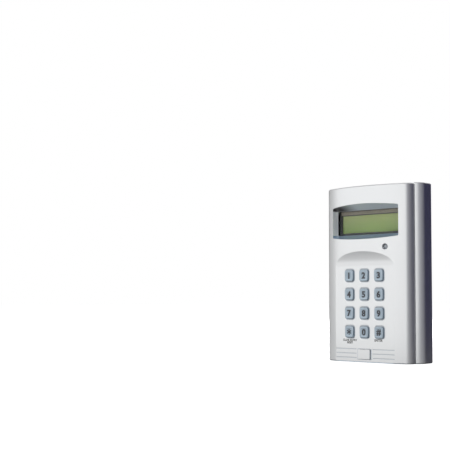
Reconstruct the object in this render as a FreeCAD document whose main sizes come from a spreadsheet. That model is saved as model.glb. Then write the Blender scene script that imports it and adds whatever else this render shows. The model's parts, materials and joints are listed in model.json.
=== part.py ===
"""Keypad terminal of a shop-counter queue system: an upright two-shell case with a character
display, twelve push keys, a status lamp and a square push button.

Row frame, in millimetres: +X to the right, +Y to the back, +Z up. The case stands on z = 0 and is
centred on X and Y, and its bowed front faces -Y. Every size is a cell of the sheet below.
"""
import FreeCAD, Part
import Sketcher
import os
from FreeCAD import Placement, Rotation, Vector

SIZES = [
    # case outline
    ("cover_width", 95.0), ("rear_width", 105.0), ("depth", 39.5),
    ("bow_radius", 115.0), ("cover_corner", 8.7), ("seam_depth", 17.2), ("seam_gap", 0.8),
    ("cover_wall", 2.4), ("rear_wall", 2.0), ("shoulder_radius", 10.5), ("shoulder_angle", 35.0),
    ("rear_corner", 3.0), ("edge_break", 0.9), ("fit_clear", 0.25),
    ("tongue_wall", 1.2), ("tongue_reach", 2.6), ("tongue_root", 1.5),
    # heights, stacked from the underside: each one is measured from the feature below it
    ("key_low_z", 27.85), ("key_pitch_z", 17.55), ("scoop_rise", 22.4), ("lamp_rise", 3.7),
    ("display_rise", 27.8), ("crown_rise", 33.3), ("rear_step", 1.0),
    # key panel, a flat cut into the bow with a scooped upper end
    ("panel_drop", 4.9), ("scoop_radius", 22.4),
    # grooves beside the button
    ("groove_z", 8.1), ("groove_pitch", 4.05), ("groove_width", 0.9), ("groove_deep", 0.7),
    ("groove_start", 9.2),
    # display recess and its clear window
    ("recess_width", 73.2), ("recess_height", 23.2), ("recess_depth", 13.8),
    ("recess_slope", 19.9), ("recess_side_slope", 6.0), ("recess_corner", 1.2),
    ("recess_wall", 2.0), ("window_width", 78.0), ("window_height", 25.4), ("window_thick", 1.2),
    # character display module
    ("bezel_width", 71.2), ("bezel_height", 25.2), ("bezel_deep", 5.8), ("bezel_sheet", 0.6),
    ("view_width", 64.5), ("view_height", 16.4), ("view_drop", 1.2), ("glass_thick", 2.2),
    ("glass_slack", 0.3), ("module_width", 80.0), ("module_height", 36.0),
    ("module_hole_inset", 2.5), ("module_gap", 0.3), ("module_boss", 2.4), ("board_thick", 1.6),
    ("tab_pitch", 25.0), ("tab_width", 3.0), ("tab_reach", 0.6), ("tab_clear", 0.2),
    # keys
    ("key_width", 9.0), ("key_height", 10.2), ("key_corner", 2.0), ("key_pitch_x", 16.85),
    ("key_proud", 1.5), ("key_chamfer", 0.65), ("key_clear", 0.2), ("key_flange", 1.1),
    ("key_flange_thick", 1.0), ("key_foot", 4.8), ("key_stop_gap", 0.1), ("rim_width", 1.7),
    ("rim_deep", 1.0),
    # rubber mat under the keys
    ("mat_thick", 1.0), ("dome_high", 1.6), ("dome_wall", 0.5), ("dome_base", 4.6),
    ("dome_top", 2.6), ("stud_long", 0.8), ("stud_width", 3.2), ("mat_margin", 9.0),
    ("mat_inset", 0.2),
    # square push button
    ("button_width", 13.4), ("button_height", 9.2), ("button_z", 7.5), ("button_proud", 1.7),
    ("button_corner", 0.8), ("button_chamfer", 0.3), ("button_clear", 0.3), ("button_flange", 1.4),
    # main board
    ("board_y", 12.6), ("board_width", 80.0), ("board_bottom", 3.4), ("board_over_lamp", 4.4),
    ("board_hole_inset", 4.0), ("board_low_z", 17.0), ("board_hole_drop", 11.0),
    ("boss_radius", 3.0), ("hole_clear", 0.2),
    # status lamp
    ("lamp_x", 25.0), ("lamp_radius", 2.5), ("lamp_hole", 2.75), ("collar_wall", 1.4),
    ("collar_long", 7.0), ("lamp_flange", 2.9), ("lamp_flange_thick", 1.0), ("lamp_length", 5.6),
    ("lamp_sink", 0.5), ("lead_pitch", 2.54), ("lead_size", 0.5), ("lead_hole", 0.9),
    ("lead_end", 0.6), ("spacer_step", 0.3),
    # screws
    ("screw_shank", 1.25), ("screw_head", 2.3), ("screw_head_high", 1.4), ("screw_long", 5.0),
    ("screw_end_gap", 0.2), ("case_screw_shank", 1.5), ("case_screw_head", 2.8),
    ("case_screw_head_high", 1.0), ("case_screw_sink", 0.1), ("case_screw_x", 30.0),
    ("case_screw_deep", 5.5), ("lug_width", 9.0), ("lug_high", 7.0), ("lug_reach", 8.0),
    # top hooks
    ("hook_x", 25.0), ("hook_width", 10.0), ("hook_reach", 7.0), ("hook_thick", 1.8),
    ("nib_high", 0.9), ("nib_long", 1.6),
    # parts on the boards
    ("seat_gap", 0.02), ("buzzer_x", -20.0), ("buzzer_drop", 15.0), ("buzzer_radius", 6.0),
    ("buzzer_high", 6.5), ("buzzer_port", 1.0), ("chip_z", 56.0), ("chip_size", 12.0),
    ("chip_high", 1.5), ("radio_x", 20.0), ("radio_z", 60.0), ("radio_width", 18.0),
    ("radio_height", 25.0), ("radio_thick", 1.0), ("can_inset", 1.5), ("can_high", 2.2),
    ("antenna_high", 6.0),
    # flat leads and their plugs
    ("ribbon_width", 32.0), ("lead_thick", 0.9), ("ribbon_lap", 3.0), ("ribbon_turn", 1.5),
    ("ribbon_off", 0.6), ("plug_high", 3.0), ("plug_size", 5.0), ("plug_side", 1.5),
    ("plug_drop", 5.5), ("inlet_lead_width", 6.0), ("inlet_lead_rise", 7.0),
    ("inlet_lead_off", 2.0), ("inlet_lead_up", 16.0),
    # power inlet and its board
    ("jack_x", -25.0), ("jack_z", 24.0), ("jack_width", 9.0), ("jack_height", 11.0),
    ("jack_long", 12.6), ("jack_clear", 0.3), ("barrel_radius", 4.0), ("barrel_root", 2.0),
    ("jack_bore", 2.95), ("jack_pin", 1.0), ("pin_short", 1.0), ("jack_bore_deep", 9.5),
    ("inlet_width", 34.0), ("inlet_height", 22.0), ("inlet_post_x", 12.5), ("post_radius", 2.6),
    ("post_hole_deep", 5.0),
    # wall screw holes
    ("wall_hole", 2.1), ("wall_pitch", 83.5), ("wall_low_z", 40.0),
]

doc = FreeCAD.newDocument("keypad_terminal")
sheet = doc.addObject("Spreadsheet::Sheet", "sizes")
for row_number, (alias, value) in enumerate(SIZES, start=1):
    sheet.set(f"A{row_number}", alias)
    sheet.set(f"B{row_number}", str(value))
    sheet.setAlias(f"B{row_number}", alias)
doc.recompute()

# Planes and heights that several pieces share, as expressions of the cells.
FRONT = "(-sizes.depth / 2)"
BACK = "(sizes.depth / 2)"
SEAM = f"({FRONT} + sizes.seam_depth)"
RIM = f"({SEAM} + sizes.seam_gap)"
PANEL = f"({FRONT} + sizes.panel_drop)"
PANEL_HALF = "sqrt(sizes.bow_radius^2 - (sizes.bow_radius - sizes.panel_drop)^2)"
PANEL_BACK = f"({PANEL} + sizes.cover_wall)"
BOARD = f"({FRONT} + sizes.board_y)"
BOARD_BACK = f"({BOARD} + sizes.board_thick)"
RECESS_END = f"({FRONT} + sizes.recess_depth)"
BEZEL = f"({RECESS_END} + sizes.window_thick + sizes.module_gap)"
MODULE = f"({BEZEL} + sizes.bezel_deep)"
MODULE_BACK = f"({MODULE} + sizes.board_thick)"
DOME_TOP = f"({BOARD} - sizes.mat_thick - sizes.dome_high)"
REAR_INSIDE = f"({BACK} - sizes.rear_wall)"
RIM_INSIDE = ("(sizes.rear_width / 2 - sizes.shoulder_radius"
              " + (sizes.shoulder_radius - sizes.rear_wall) * sin(sizes.shoulder_angle * 1deg))")
TONGUE_OUT = f"({RIM_INSIDE} - sizes.fit_clear)"
TOP_ROW = "(sizes.key_low_z + 3 * sizes.key_pitch_z)"
SCOOP_TOP = f"({TOP_ROW} + sizes.scoop_rise)"
LAMP_Z = f"({SCOOP_TOP} + sizes.lamp_rise)"
DISPLAY_Z = f"({SCOOP_TOP} + sizes.display_rise)"
COVER_TOP = f"({DISPLAY_Z} + sizes.crown_rise)"
REAR_TOP = f"({COVER_TOP} + sizes.rear_step)"
BOARD_TOP = f"({LAMP_Z} + sizes.board_over_lamp)"
BOARD_HOLE_X = "(sizes.board_width / 2 - sizes.board_hole_inset)"
MODULE_HOLE_X = "(sizes.module_width / 2 - sizes.module_hole_inset)"
MODULE_HOLE_Z = "(sizes.module_height / 2 - sizes.module_hole_inset)"
VIEW_Z = f"({DISPLAY_Z} - sizes.view_drop)"
FLANGE_FRONT = f"({PANEL_BACK} + sizes.key_stop_gap)"
FLANGE_BACK = f"({FLANGE_FRONT} + sizes.key_flange_thick)"
INLET_BACK = f"({BACK} - sizes.jack_long - sizes.jack_clear)"
INLET_FRONT = f"({INLET_BACK} - sizes.board_thick)"
PAST = "1"  # how far a cutter runs past the face that it opens
ROOT = "0.2"  # how deep one solid of a piece starts inside the next

ALONG_Y = Rotation(Vector(1, 0, 0), -90)
nodes = {}


def measure(expression):
    """The number that an expression of the cells gives now."""
    return float(sheet.evalExpression(expression))


def bind(target, **expressions):
    """Binds properties to expressions; a double underscore in a name stands for a dot."""
    for name, expression in expressions.items():
        target.setExpression(name.replace("__", "."), str(expression))


def place(target, x="0", y="0", z="0", turn=None):
    if turn is not None:
        target.Placement = Placement(Vector(), turn)
    bind(target, Placement__Base__x=x, Placement__Base__y=y, Placement__Base__z=z)
    return target


def keep(name, target):
    """Makes target the sub-part of that name."""
    target.Label = name
    nodes[name] = target
    return target


def block(name, x, y, z):
    """A box between three pairs of expressions."""
    made = doc.addObject("Part::Box", name)
    bind(made, Length=f"({x[1]}) - ({x[0]})", Width=f"({y[1]}) - ({y[0]})", Height=f"({z[1]}) - ({z[0]})")
    return place(made, x[0], y[0], z[0])


def centred(name, middle_x, width, y, middle_z, height):
    """A box centred on a point of the front view."""
    return block(name, (f"{middle_x} - ({width}) / 2", f"{middle_x} + ({width}) / 2"), y,
                 (f"{middle_z} - ({height}) / 2", f"{middle_z} + ({height}) / 2"))


def rod(name, x, y, z, radius):
    """A cylinder along Y between the two expressions of y."""
    made = doc.addObject("Part::Cylinder", name)
    bind(made, Radius=radius, Height=f"({y[1]}) - ({y[0]})")
    return place(made, x, y[0], z, ALONG_Y)


def prism(name, x, y, z, radius, sides=8):
    """A prism along Y, with its corners on a circle of that radius: the plain form of small rods."""
    made = doc.addObject("Part::Prism", name)
    made.Polygon = sides
    bind(made, Circumradius=radius, Height=f"({y[1]}) - ({y[0]})")
    return place(made, x, y[0], z, ALONG_Y)


def post(name, x, y, z, radius):
    """A cylinder along Z between the two expressions of z."""
    made = doc.addObject("Part::Cylinder", name)
    bind(made, Radius=radius, Height=f"({z[1]}) - ({z[0]})")
    return place(made, x, y, z[0])


def frustum(name, small, large, x, y, z):
    """A square frustum along Y, with half-width small at y[0] and large at y[1]."""
    made = doc.addObject("Part::Wedge", name)
    bind(made, Xmin=f"-({small})", Xmax=small, Zmin=f"-({small})", Zmax=small, Ymin=y[0], Ymax=y[1],
         X2min=f"-({large})", X2max=large, Z2min=f"-({large})", Z2max=large)
    return place(made, x, z=z)


def fuse(name, pieces):
    made = doc.addObject("Part::MultiFuse", name)
    made.Shapes = pieces
    return made


def cut(name, base, tools):
    made = doc.addObject("Part::Cut", name)
    made.Base = base
    made.Tool = tools[0] if len(tools) == 1 else fuse(name + "_tools", tools)
    return made


def group(name, pieces):
    made = doc.addObject("Part::Compound", name)
    made.Links = pieces
    return keep(name, made)


def new_body(name):
    return doc.addObject("PartDesign::Body", name)


def new_sketch(body, name, role, offset="0", x="0", y="0"):
    """A sketch on one of the body's own origin planes, moved along its normal."""
    sketch = body.newObject("Sketcher::SketchObject", name)
    plane = next(f for f in body.Origin.OriginFeatures if f.Role == role)
    sketch.AttachmentSupport = [(plane, "")]
    sketch.MapMode = "FlatFace"
    bind(sketch, AttachmentOffset__Base__x=x, AttachmentOffset__Base__y=y,
         AttachmentOffset__Base__z=offset)
    return sketch


def line(x0, y0, x1, y1):
    return Part.LineSegment(Vector(x0, y0, 0), Vector(x1, y1, 0))


def arc(x, y, radius, start, end):
    """A counter-clockwise arc between two angles in degrees."""
    circle = Part.Circle(Vector(x, y, 0), Vector(0, 0, 1), radius)
    return Part.ArcOfCircle(circle, start * DEGREE, end * DEGREE)


DEGREE = 3.141592653589793 / 180


def fix(sketch, *rules):
    """Adds constraints. A last entry that is text is an expression for the constraint's value."""
    for rule in rules:
        if isinstance(rule[-1], str):
            number = sketch.addConstraint(Sketcher.Constraint(*rule[:-1], measure(rule[-1])))
            sketch.setExpression(f"Constraints[{number}]", rule[-1])
        else:
            sketch.addConstraint(Sketcher.Constraint(*rule))


def rounded_rectangle(sketch, width, height, radius):
    """A rounded rectangle centred on the sketch's origin, from three expressions."""
    a, b, r = measure(width) / 2, measure(height) / 2, measure(radius)
    sketch.addGeometry([
        line(-a + r, b, a - r, b), line(a, b - r, a, -b + r),
        line(a - r, -b, -a + r, -b), line(-a, -b + r, -a, b - r),
        arc(a - r, b - r, r, 0, 90), arc(a - r, -b + r, r, 270, 360),
        arc(-a + r, -b + r, r, 180, 270), arc(-a + r, b - r, r, 90, 180)])
    fix(sketch,
        ("Tangent", 0, 2, 4, 2), ("Tangent", 4, 1, 1, 1), ("Tangent", 1, 2, 5, 2),
        ("Tangent", 5, 1, 2, 1), ("Tangent", 2, 2, 6, 2), ("Tangent", 6, 1, 3, 1),
        ("Tangent", 3, 2, 7, 2), ("Tangent", 7, 1, 0, 1),
        ("Horizontal", 0), ("Horizontal", 2), ("Vertical", 1), ("Vertical", 3),
        ("Equal", 4, 5), ("Equal", 4, 6), ("Equal", 4, 7), ("Radius", 4, radius),
        ("DistanceX", 3, 1, 1, 1, width), ("DistanceY", 2, 1, 0, 2, height),
        ("Symmetric", 6, 3, 4, 3, -1, 1))


def rectangle(sketch, width, height):
    """A rectangle centred on the sketch's origin, from two expressions."""
    a, b = measure(width) / 2, measure(height) / 2
    sketch.addGeometry([line(-a, -b, a, -b), line(a, -b, a, b), line(a, b, -a, b), line(-a, b, -a, -b)])
    fix(sketch,
        ("Coincident", 0, 2, 1, 1), ("Coincident", 1, 2, 2, 1), ("Coincident", 2, 2, 3, 1),
        ("Coincident", 3, 2, 0, 1), ("Horizontal", 0), ("Vertical", 1), ("Horizontal", 2),
        ("Vertical", 3), ("Symmetric", 0, 1, 1, 2, -1, 1),
        ("DistanceX", 0, 1, 0, 2, width), ("DistanceY", 1, 1, 1, 2, height))


def pad(body, sketch, name, length, backwards=False):
    made = body.newObject("PartDesign::Pad", name)
    made.Profile = sketch
    made.Reversed = backwards
    bind(made, Length=length)
    return made


def rounded_block(name, width, height, radius, y):
    """A body: a rounded rectangle of the front view, padded back from y[0] to y[1]."""
    body = new_body(name)
    sketch = new_sketch(body, name + "_outline", "XZ_Plane", f"-({y[0]})")
    rounded_rectangle(sketch, width, height, radius)
    pad(body, sketch, name + "_pad", f"({y[1]}) - ({y[0]})", backwards=True)
    return body


def tapered_block(name, near, far, y):
    """A body lofted from the rounded rectangle near at y[0] to far at y[1]: width, height, radius."""
    body = new_body(name)
    ends = []
    for label, size, level in (("near", near, y[0]), ("far", far, y[1])):
        sketch = new_sketch(body, f"{name}_{label}", "XZ_Plane", f"-({level})")
        rounded_rectangle(sketch, *size)
        ends.append(sketch)
    loft = body.newObject("PartDesign::AdditiveLoft", name + "_loft")
    loft.Profile = ends[0]
    loft.Sections = [ends[1]]
    loft.Ruled = True
    return body


def edges_where(shape, test):
    return [f"Edge{n}" for n, edge in enumerate(shape.Edges, start=1) if test(edge)]


def on_plane(edge, axis, level):
    """Does the whole edge lie in the plane where that axis has that value?"""
    box = edge.BoundBox
    low, high = getattr(box, axis + "Min"), getattr(box, axis + "Max")
    return abs(low - level) < 0.01 and abs(high - level) < 0.01


# ---------------------------------------------------------------------------------- case outlines

def cover_outline(sketch, inset, back):
    """The cover's plan outline: the bow, two corner arcs, two sides and a straight back."""
    radius, corner = f"sizes.bow_radius - {inset}", f"sizes.cover_corner - {inset}"
    width = f"sizes.cover_width - 2 * {inset}"
    middle = f"{FRONT} + sizes.bow_radius"
    bow, c, half = measure(radius), measure(corner), measure(width) / 2
    centre_y, back_y = measure(middle), measure(back)
    corner_x = half - c
    corner_y = centre_y - ((bow - c) ** 2 - corner_x ** 2) ** 0.5
    swing = FreeCAD.Vector(0, -1, 0).getAngle(Vector(corner_x, corner_y - centre_y, 0)) / DEGREE
    sketch.addGeometry([
        arc(0, centre_y, bow, 270 - swing, 270 + swing), arc(corner_x, corner_y, c, 270 + swing, 360),
        line(half, corner_y, half, back_y), line(half, back_y, -half, back_y),
        line(-half, back_y, -half, corner_y), arc(-corner_x, corner_y, c, 180, 270 - swing)])
    fix(sketch,
        ("Tangent", 0, 2, 1, 1), ("Tangent", 1, 2, 2, 1), ("Coincident", 2, 2, 3, 1),
        ("Coincident", 3, 2, 4, 1), ("Tangent", 4, 2, 5, 1), ("Tangent", 5, 2, 0, 1),
        ("Vertical", 2), ("Vertical", 4), ("PointOnObject", 0, 3, -2),
        ("Radius", 0, radius), ("Radius", 1, corner), ("Equal", 1, 5),
        ("Symmetric", 2, 2, 4, 1, -2), ("DistanceX", 4, 1, 2, 2, width),
        ("DistanceY", -1, 1, 0, 3, middle), ("DistanceY", -1, 1, 3, 1, back))


def rear_outline(sketch, inset):
    """The rear housing's plan outline: rim line, rounded shoulders, sides and a flat back."""
    shoulder, corner = f"sizes.shoulder_radius - {inset}", f"sizes.rear_corner - {inset}"
    width, back = f"sizes.rear_width - 2 * {inset}", f"{BACK} - {inset}"
    middle = f"{RIM} + sizes.shoulder_radius * cos(sizes.shoulder_angle * 1deg)"
    front = f"{middle} - ({shoulder}) * cos(sizes.shoulder_angle * 1deg)"
    s, c, half = measure(shoulder), measure(corner), measure(width) / 2
    middle_y, back_y, front_y = measure(middle), measure(back), measure(front)
    start = 270 + measure("sizes.shoulder_angle")
    start_x = half - s + s * ((s ** 2 - (middle_y - front_y) ** 2) ** 0.5) / s
    sketch.addGeometry([
        line(-start_x, front_y, start_x, front_y), arc(half - s, middle_y, s, start, 360),
        line(half, middle_y, half, back_y - c), arc(half - c, back_y - c, c, 0, 90),
        line(half - c, back_y, c - half, back_y), arc(c - half, back_y - c, c, 90, 180),
        line(-half, back_y - c, -half, middle_y), arc(s - half, middle_y, s, 180, 540 - start)])
    fix(sketch,
        ("Coincident", 0, 2, 1, 1), ("Tangent", 1, 2, 2, 1), ("Tangent", 2, 2, 3, 1),
        ("Tangent", 3, 2, 4, 1), ("Tangent", 4, 2, 5, 1), ("Tangent", 5, 2, 6, 1),
        ("Tangent", 6, 2, 7, 1), ("Coincident", 7, 2, 0, 1),
        ("Vertical", 2), ("Vertical", 6), ("Horizontal", 4), ("Horizontal", 0),
        ("Radius", 1, shoulder), ("Equal", 1, 7), ("Radius", 3, corner), ("Equal", 3, 5),
        ("Symmetric", 2, 1, 6, 2, -2), ("DistanceX", 6, 2, 2, 1, width),
        ("DistanceY", -1, 1, 4, 1, back), ("DistanceY", -1, 1, 0, 1, front),
        ("DistanceY", -1, 1, 2, 1, middle))


def standing_body(name, draw, bottom, top):
    """A body whose plan outline is padded up from bottom to top."""
    body = new_body(name)
    sketch = new_sketch(body, name + "_outline", "XY_Plane", bottom)
    draw(sketch)
    pad(body, sketch, name + "_pad", f"({top}) - ({bottom})")
    return body


def finish_edges(body, kind, names, **sizes):
    """Adds a fillet or chamfer on named edges of the body's last feature."""
    base = body.Tip
    made = body.newObject(f"PartDesign::{kind}", f"{body.Name}_{kind}")
    made.Base = (base, names)
    bind(made, **sizes)
    body.Tip = made


def break_ends(body, height, open_side):
    """Chamfers the edges round the top and bottom faces, apart from those of the open side."""
    doc.recompute()
    top, side = measure(height), measure(open_side)
    names = edges_where(body.Shape, lambda e: (on_plane(e, "Z", 0) or on_plane(e, "Z", top))
                        and not on_plane(e, "Y", side))
    finish_edges(body, "Chamfer", names, Size="sizes.edge_break")


# ------------------------------------------------------------------------------------ front cover

KEY_NAMES = [["key_1", "key_2", "key_3"], ["key_4", "key_5", "key_6"],
             ["key_7", "key_8", "key_9"], ["key_star", "key_0", "key_hash"]]


def key_places():
    """Each key's name with the expressions of its centre."""
    for row, names in enumerate(KEY_NAMES):
        for column, name in enumerate(names):
            yield name, f"{column - 1} * sizes.key_pitch_x", f"{TOP_ROW} - {row} * sizes.key_pitch_z"


def board_boss_places():
    for side in ("-", ""):
        for z in ("sizes.board_low_z", f"{BOARD_TOP} - sizes.board_hole_drop"):
            yield side + BOARD_HOLE_X, z


def module_boss_places():
    for side in (-1, 1):
        for level in (-1, 1):
            yield (f"{side} * {MODULE_HOLE_X}",
                   f"{DISPLAY_Z} + {level} * {MODULE_HOLE_Z}")


def scoop_body(name, grow, half_width, deep_grow):
    """The flat key panel with its scooped upper end, as a cutter seen from the side."""
    body = new_body(name)
    sketch = new_sketch(body, name + "_side", "YZ_Plane", f"-({half_width})")
    radius = f"sizes.scoop_radius + {grow}"
    floor = f"{PANEL} + {deep_grow}"
    tangent_z = (f"{SCOOP_TOP} - sqrt(sizes.scoop_radius^2"
                 " - (sizes.scoop_radius - sizes.panel_drop)^2)")
    low, ahead = f"-{PAST}", f"{FRONT} - {PAST}"
    r, y1, z1 = measure(radius), measure(floor), measure(tangent_z)
    y0, z0 = measure(ahead), measure(low)
    z2 = z1 + (r ** 2 - (r - (y1 - y0)) ** 2) ** 0.5
    swing = FreeCAD.Vector(1, 0, 0).getAngle(Vector(y0 - (y1 - r), z2 - z1, 0)) / DEGREE
    sketch.addGeometry([line(y0, z0, y1, z0), line(y1, z0, y1, z1), arc(y1 - r, z1, r, 0, swing),
                        line(y0, z2, y0, z0)])
    fix(sketch,
        ("Coincident", 0, 2, 1, 1), ("Tangent", 1, 2, 2, 1), ("Coincident", 2, 2, 3, 1),
        ("Coincident", 3, 2, 0, 1), ("Horizontal", 0), ("Vertical", 1), ("Vertical", 3),
        ("Radius", 2, radius), ("DistanceX", -1, 1, 0, 1, ahead), ("DistanceY", -1, 1, 0, 1, low),
        ("DistanceX", -1, 1, 1, 1, floor), ("DistanceY", -1, 1, 1, 2, tangent_z))
    pad(body, sketch, name + "_pad", f"2 * ({half_width})")
    return body


def recess_block(name, grow, front, back):
    """The display recess, which narrows towards its window, grown by a wall all round."""
    body = new_body(name)
    wedge = body.newObject("PartDesign::AdditiveWedge", name + "_wedge")
    bind(wedge, Ymin=front, Ymax=back)
    for level, mark in ((front, ""), (back, "2")):
        ahead = f"({RECESS_END} - ({level}))"
        for axis, size, slope in (("X", "sizes.recess_width", "sizes.recess_side_slope"),
                                  ("Z", "sizes.recess_height", "sizes.recess_slope")):
            half = f"({size} / 2 + {ahead} * tan({slope} * 1deg) + {grow})"
            bind(wedge, **{f"{axis}{mark}min": f"-{half}", f"{axis}{mark}max": half})
    return place(body, z=DISPLAY_Z)


def cover_cavity():
    """The hollow inside the cover, less what stands in it: panel back, recess walls and bosses."""
    hollow = standing_body("cover_hollow",
                           lambda s: cover_outline(s, "sizes.cover_wall", f"{SEAM} + {PAST}"),
                           "sizes.cover_wall", f"{COVER_TOP} - sizes.cover_wall")
    solid = [scoop_body("panel_back", "sizes.cover_wall", "sizes.cover_width / 2", "sizes.cover_wall"),
             recess_block("recess_walls", "sizes.recess_wall", f"{FRONT} - {PAST}", RECESS_END)]
    for number, (x, z) in enumerate(board_boss_places()):
        solid.append(prism(f"board_boss{number}", x, (FRONT, BOARD), z, "sizes.boss_radius", sides=12))
    for number, (x, z) in enumerate(module_boss_places()):
        solid.append(prism(f"module_boss{number}", x, (FRONT, MODULE), z, "sizes.module_boss", sides=12))
    solid.append(rod("lamp_collar", "sizes.lamp_x", (FRONT, f"{FRONT} + sizes.collar_long"), LAMP_Z,
                     "sizes.lamp_hole + sizes.collar_wall"))
    return cut("cover_inside", hollow, solid)


def cover_openings():
    """Everything that is cut through the cover's front."""
    recess = recess_block("recess_cut", "0", f"{FRONT} - {PAST}", f"{RECESS_END} + {PAST}")
    doc.recompute()
    ends = [measure(f"{FRONT} - {PAST}"), measure(f"{RECESS_END} + {PAST}")]
    slanted = edges_where(recess.Shape, lambda e: not any(on_plane(e, "Y", end) for end in ends))
    finish_edges(recess, "Fillet", slanted, Radius="sizes.recess_corner")
    tools = [scoop_body("panel_cut", "0", f"sizes.cover_width / 2 + {PAST}", "0"), recess,
             rod("lamp_cut", "sizes.lamp_x",
                 (f"{FRONT} - {PAST}", f"{FRONT} + sizes.collar_long + {PAST}"), LAMP_Z,
                 "sizes.lamp_hole")]
    hole = ("sizes.key_width + 2 * sizes.key_clear", "sizes.key_height + 2 * sizes.key_clear",
            "sizes.key_corner + sizes.key_clear")
    rim = tuple(f"{size} + {share} * sizes.rim_width" for size, share in zip(hole, (2, 2, 1)))
    through = f"{PANEL_BACK} + {PAST}"
    for name, x, z in key_places():
        well = rounded_block(f"{name}_hole", *hole, (f"{PANEL} - {PAST}", through))
        slope = tapered_block(f"{name}_rim", rim, hole, (PANEL, f"{PANEL} + sizes.rim_deep"))
        tools += [place(well, x, z=z), place(slope, x, z=z)]
    slot = rounded_block("button_hole", "sizes.button_width + 2 * sizes.button_clear",
                         "sizes.button_height + 2 * sizes.button_clear",
                         "sizes.button_corner + sizes.button_clear", (f"{FRONT} - {PAST}", through))
    tools.append(place(slot, z="sizes.button_z"))
    for number in (-1, 0, 1):
        middle = f"sizes.groove_z + {number} * sizes.groove_pitch"
        deep = (f"{PANEL} - {PAST}", f"{PANEL} + sizes.groove_deep")
        for side, ends in (("left", (f"-({PANEL_HALF})", "-sizes.groove_start")),
                           ("right", ("sizes.groove_start", PANEL_HALF))):
            tools.append(block(f"groove_{side}{number + 1}", ends, deep,
                               (f"{middle} - sizes.groove_width / 2",
                                f"{middle} + sizes.groove_width / 2")))
    for number, (x, z) in enumerate(board_boss_places()):
        tools.append(prism(f"board_pilot{number}", x,
                           (f"{BOARD_BACK} - sizes.screw_long", f"{BOARD} + {PAST}"), z,
                           "sizes.screw_shank"))
    for number, (x, z) in enumerate(module_boss_places()):
        tools.append(prism(f"module_pilot{number}", x,
                           (f"{MODULE_BACK} - sizes.screw_long", f"{MODULE} + {PAST}"), z,
                           "sizes.screw_shank"))
    return tools


def case_screw_places():
    return [f"{side} * sizes.case_screw_x" for side in (-1, 1)]


CASE_SCREW_Y = f"({SEAM} + sizes.lug_reach / 2)"
LUG_BOTTOM = "(sizes.rear_wall + sizes.fit_clear)"
HOOK_TOP = f"({REAR_TOP} - sizes.rear_wall - sizes.fit_clear)"


def cover_fastening():
    """The tongue round the seam, the two screw lugs at the bottom and the two hooks at the top."""
    root = f"{SEAM} - sizes.tongue_root"
    reach = (root, f"{SEAM} + sizes.tongue_reach")
    low, high = LUG_BOTTOM, HOOK_TOP
    outer = block("tongue_outer", (f"-{TONGUE_OUT}", TONGUE_OUT), reach, (low, high))
    inner = block("tongue_inner", (f"-({TONGUE_OUT} - sizes.tongue_wall)",
                                   f"{TONGUE_OUT} - sizes.tongue_wall"),
                  (f"{root} - {PAST}", f"{SEAM} + sizes.tongue_reach + {PAST}"),
                  (f"{low} + sizes.tongue_wall", f"{high} - sizes.tongue_wall"))
    pieces = [cut("tongue", outer, [inner])]
    for number, x in enumerate(case_screw_places()):
        pieces.append(block(f"lug{number}", (f"{x} - sizes.lug_width / 2", f"{x} + sizes.lug_width / 2"),
                            (root, f"{SEAM} + sizes.lug_reach"),
                            (low, f"{low} + sizes.lug_high")))
    for side in (-1, 1):
        width = (f"{side} * sizes.hook_x - sizes.hook_width / 2",
                 f"{side} * sizes.hook_x + sizes.hook_width / 2")
        tip = f"{SEAM} + sizes.hook_reach"
        pieces.append(block(f"hook{side + 1}", width, (root, tip),
                            (f"{high} - sizes.hook_thick", high)))
        pieces.append(block(f"nib{side + 1}", width, (f"{tip} - sizes.nib_long", tip),
                            (f"{high} - {ROOT}", f"{high} + sizes.nib_high")))
    return pieces


def front_cover():
    skin = standing_body("cover_skin", lambda s: cover_outline(s, "0", SEAM), "0", COVER_TOP)
    break_ends(skin, COVER_TOP, SEAM)
    shell = cut("cover_shell", skin, [cover_cavity()] + cover_openings())
    whole = fuse("cover_whole", [shell] + cover_fastening())
    pilots = [post(f"case_pilot{number}", x, CASE_SCREW_Y,
                   (f"-{PAST}", f"{LUG_BOTTOM} + sizes.case_screw_deep"), "sizes.case_screw_shank")
              for number, x in enumerate(case_screw_places())]
    keep("front_cover", cut("front_cover", whole, pilots))


# ----------------------------------------------------------------------------------- rear housing

def inlet_post_places():
    return [f"sizes.jack_x + {side} * sizes.inlet_post_x" for side in (-1, 1)]


def wall_hole_places():
    return ["sizes.wall_low_z", "sizes.wall_low_z + sizes.wall_pitch"]


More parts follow.
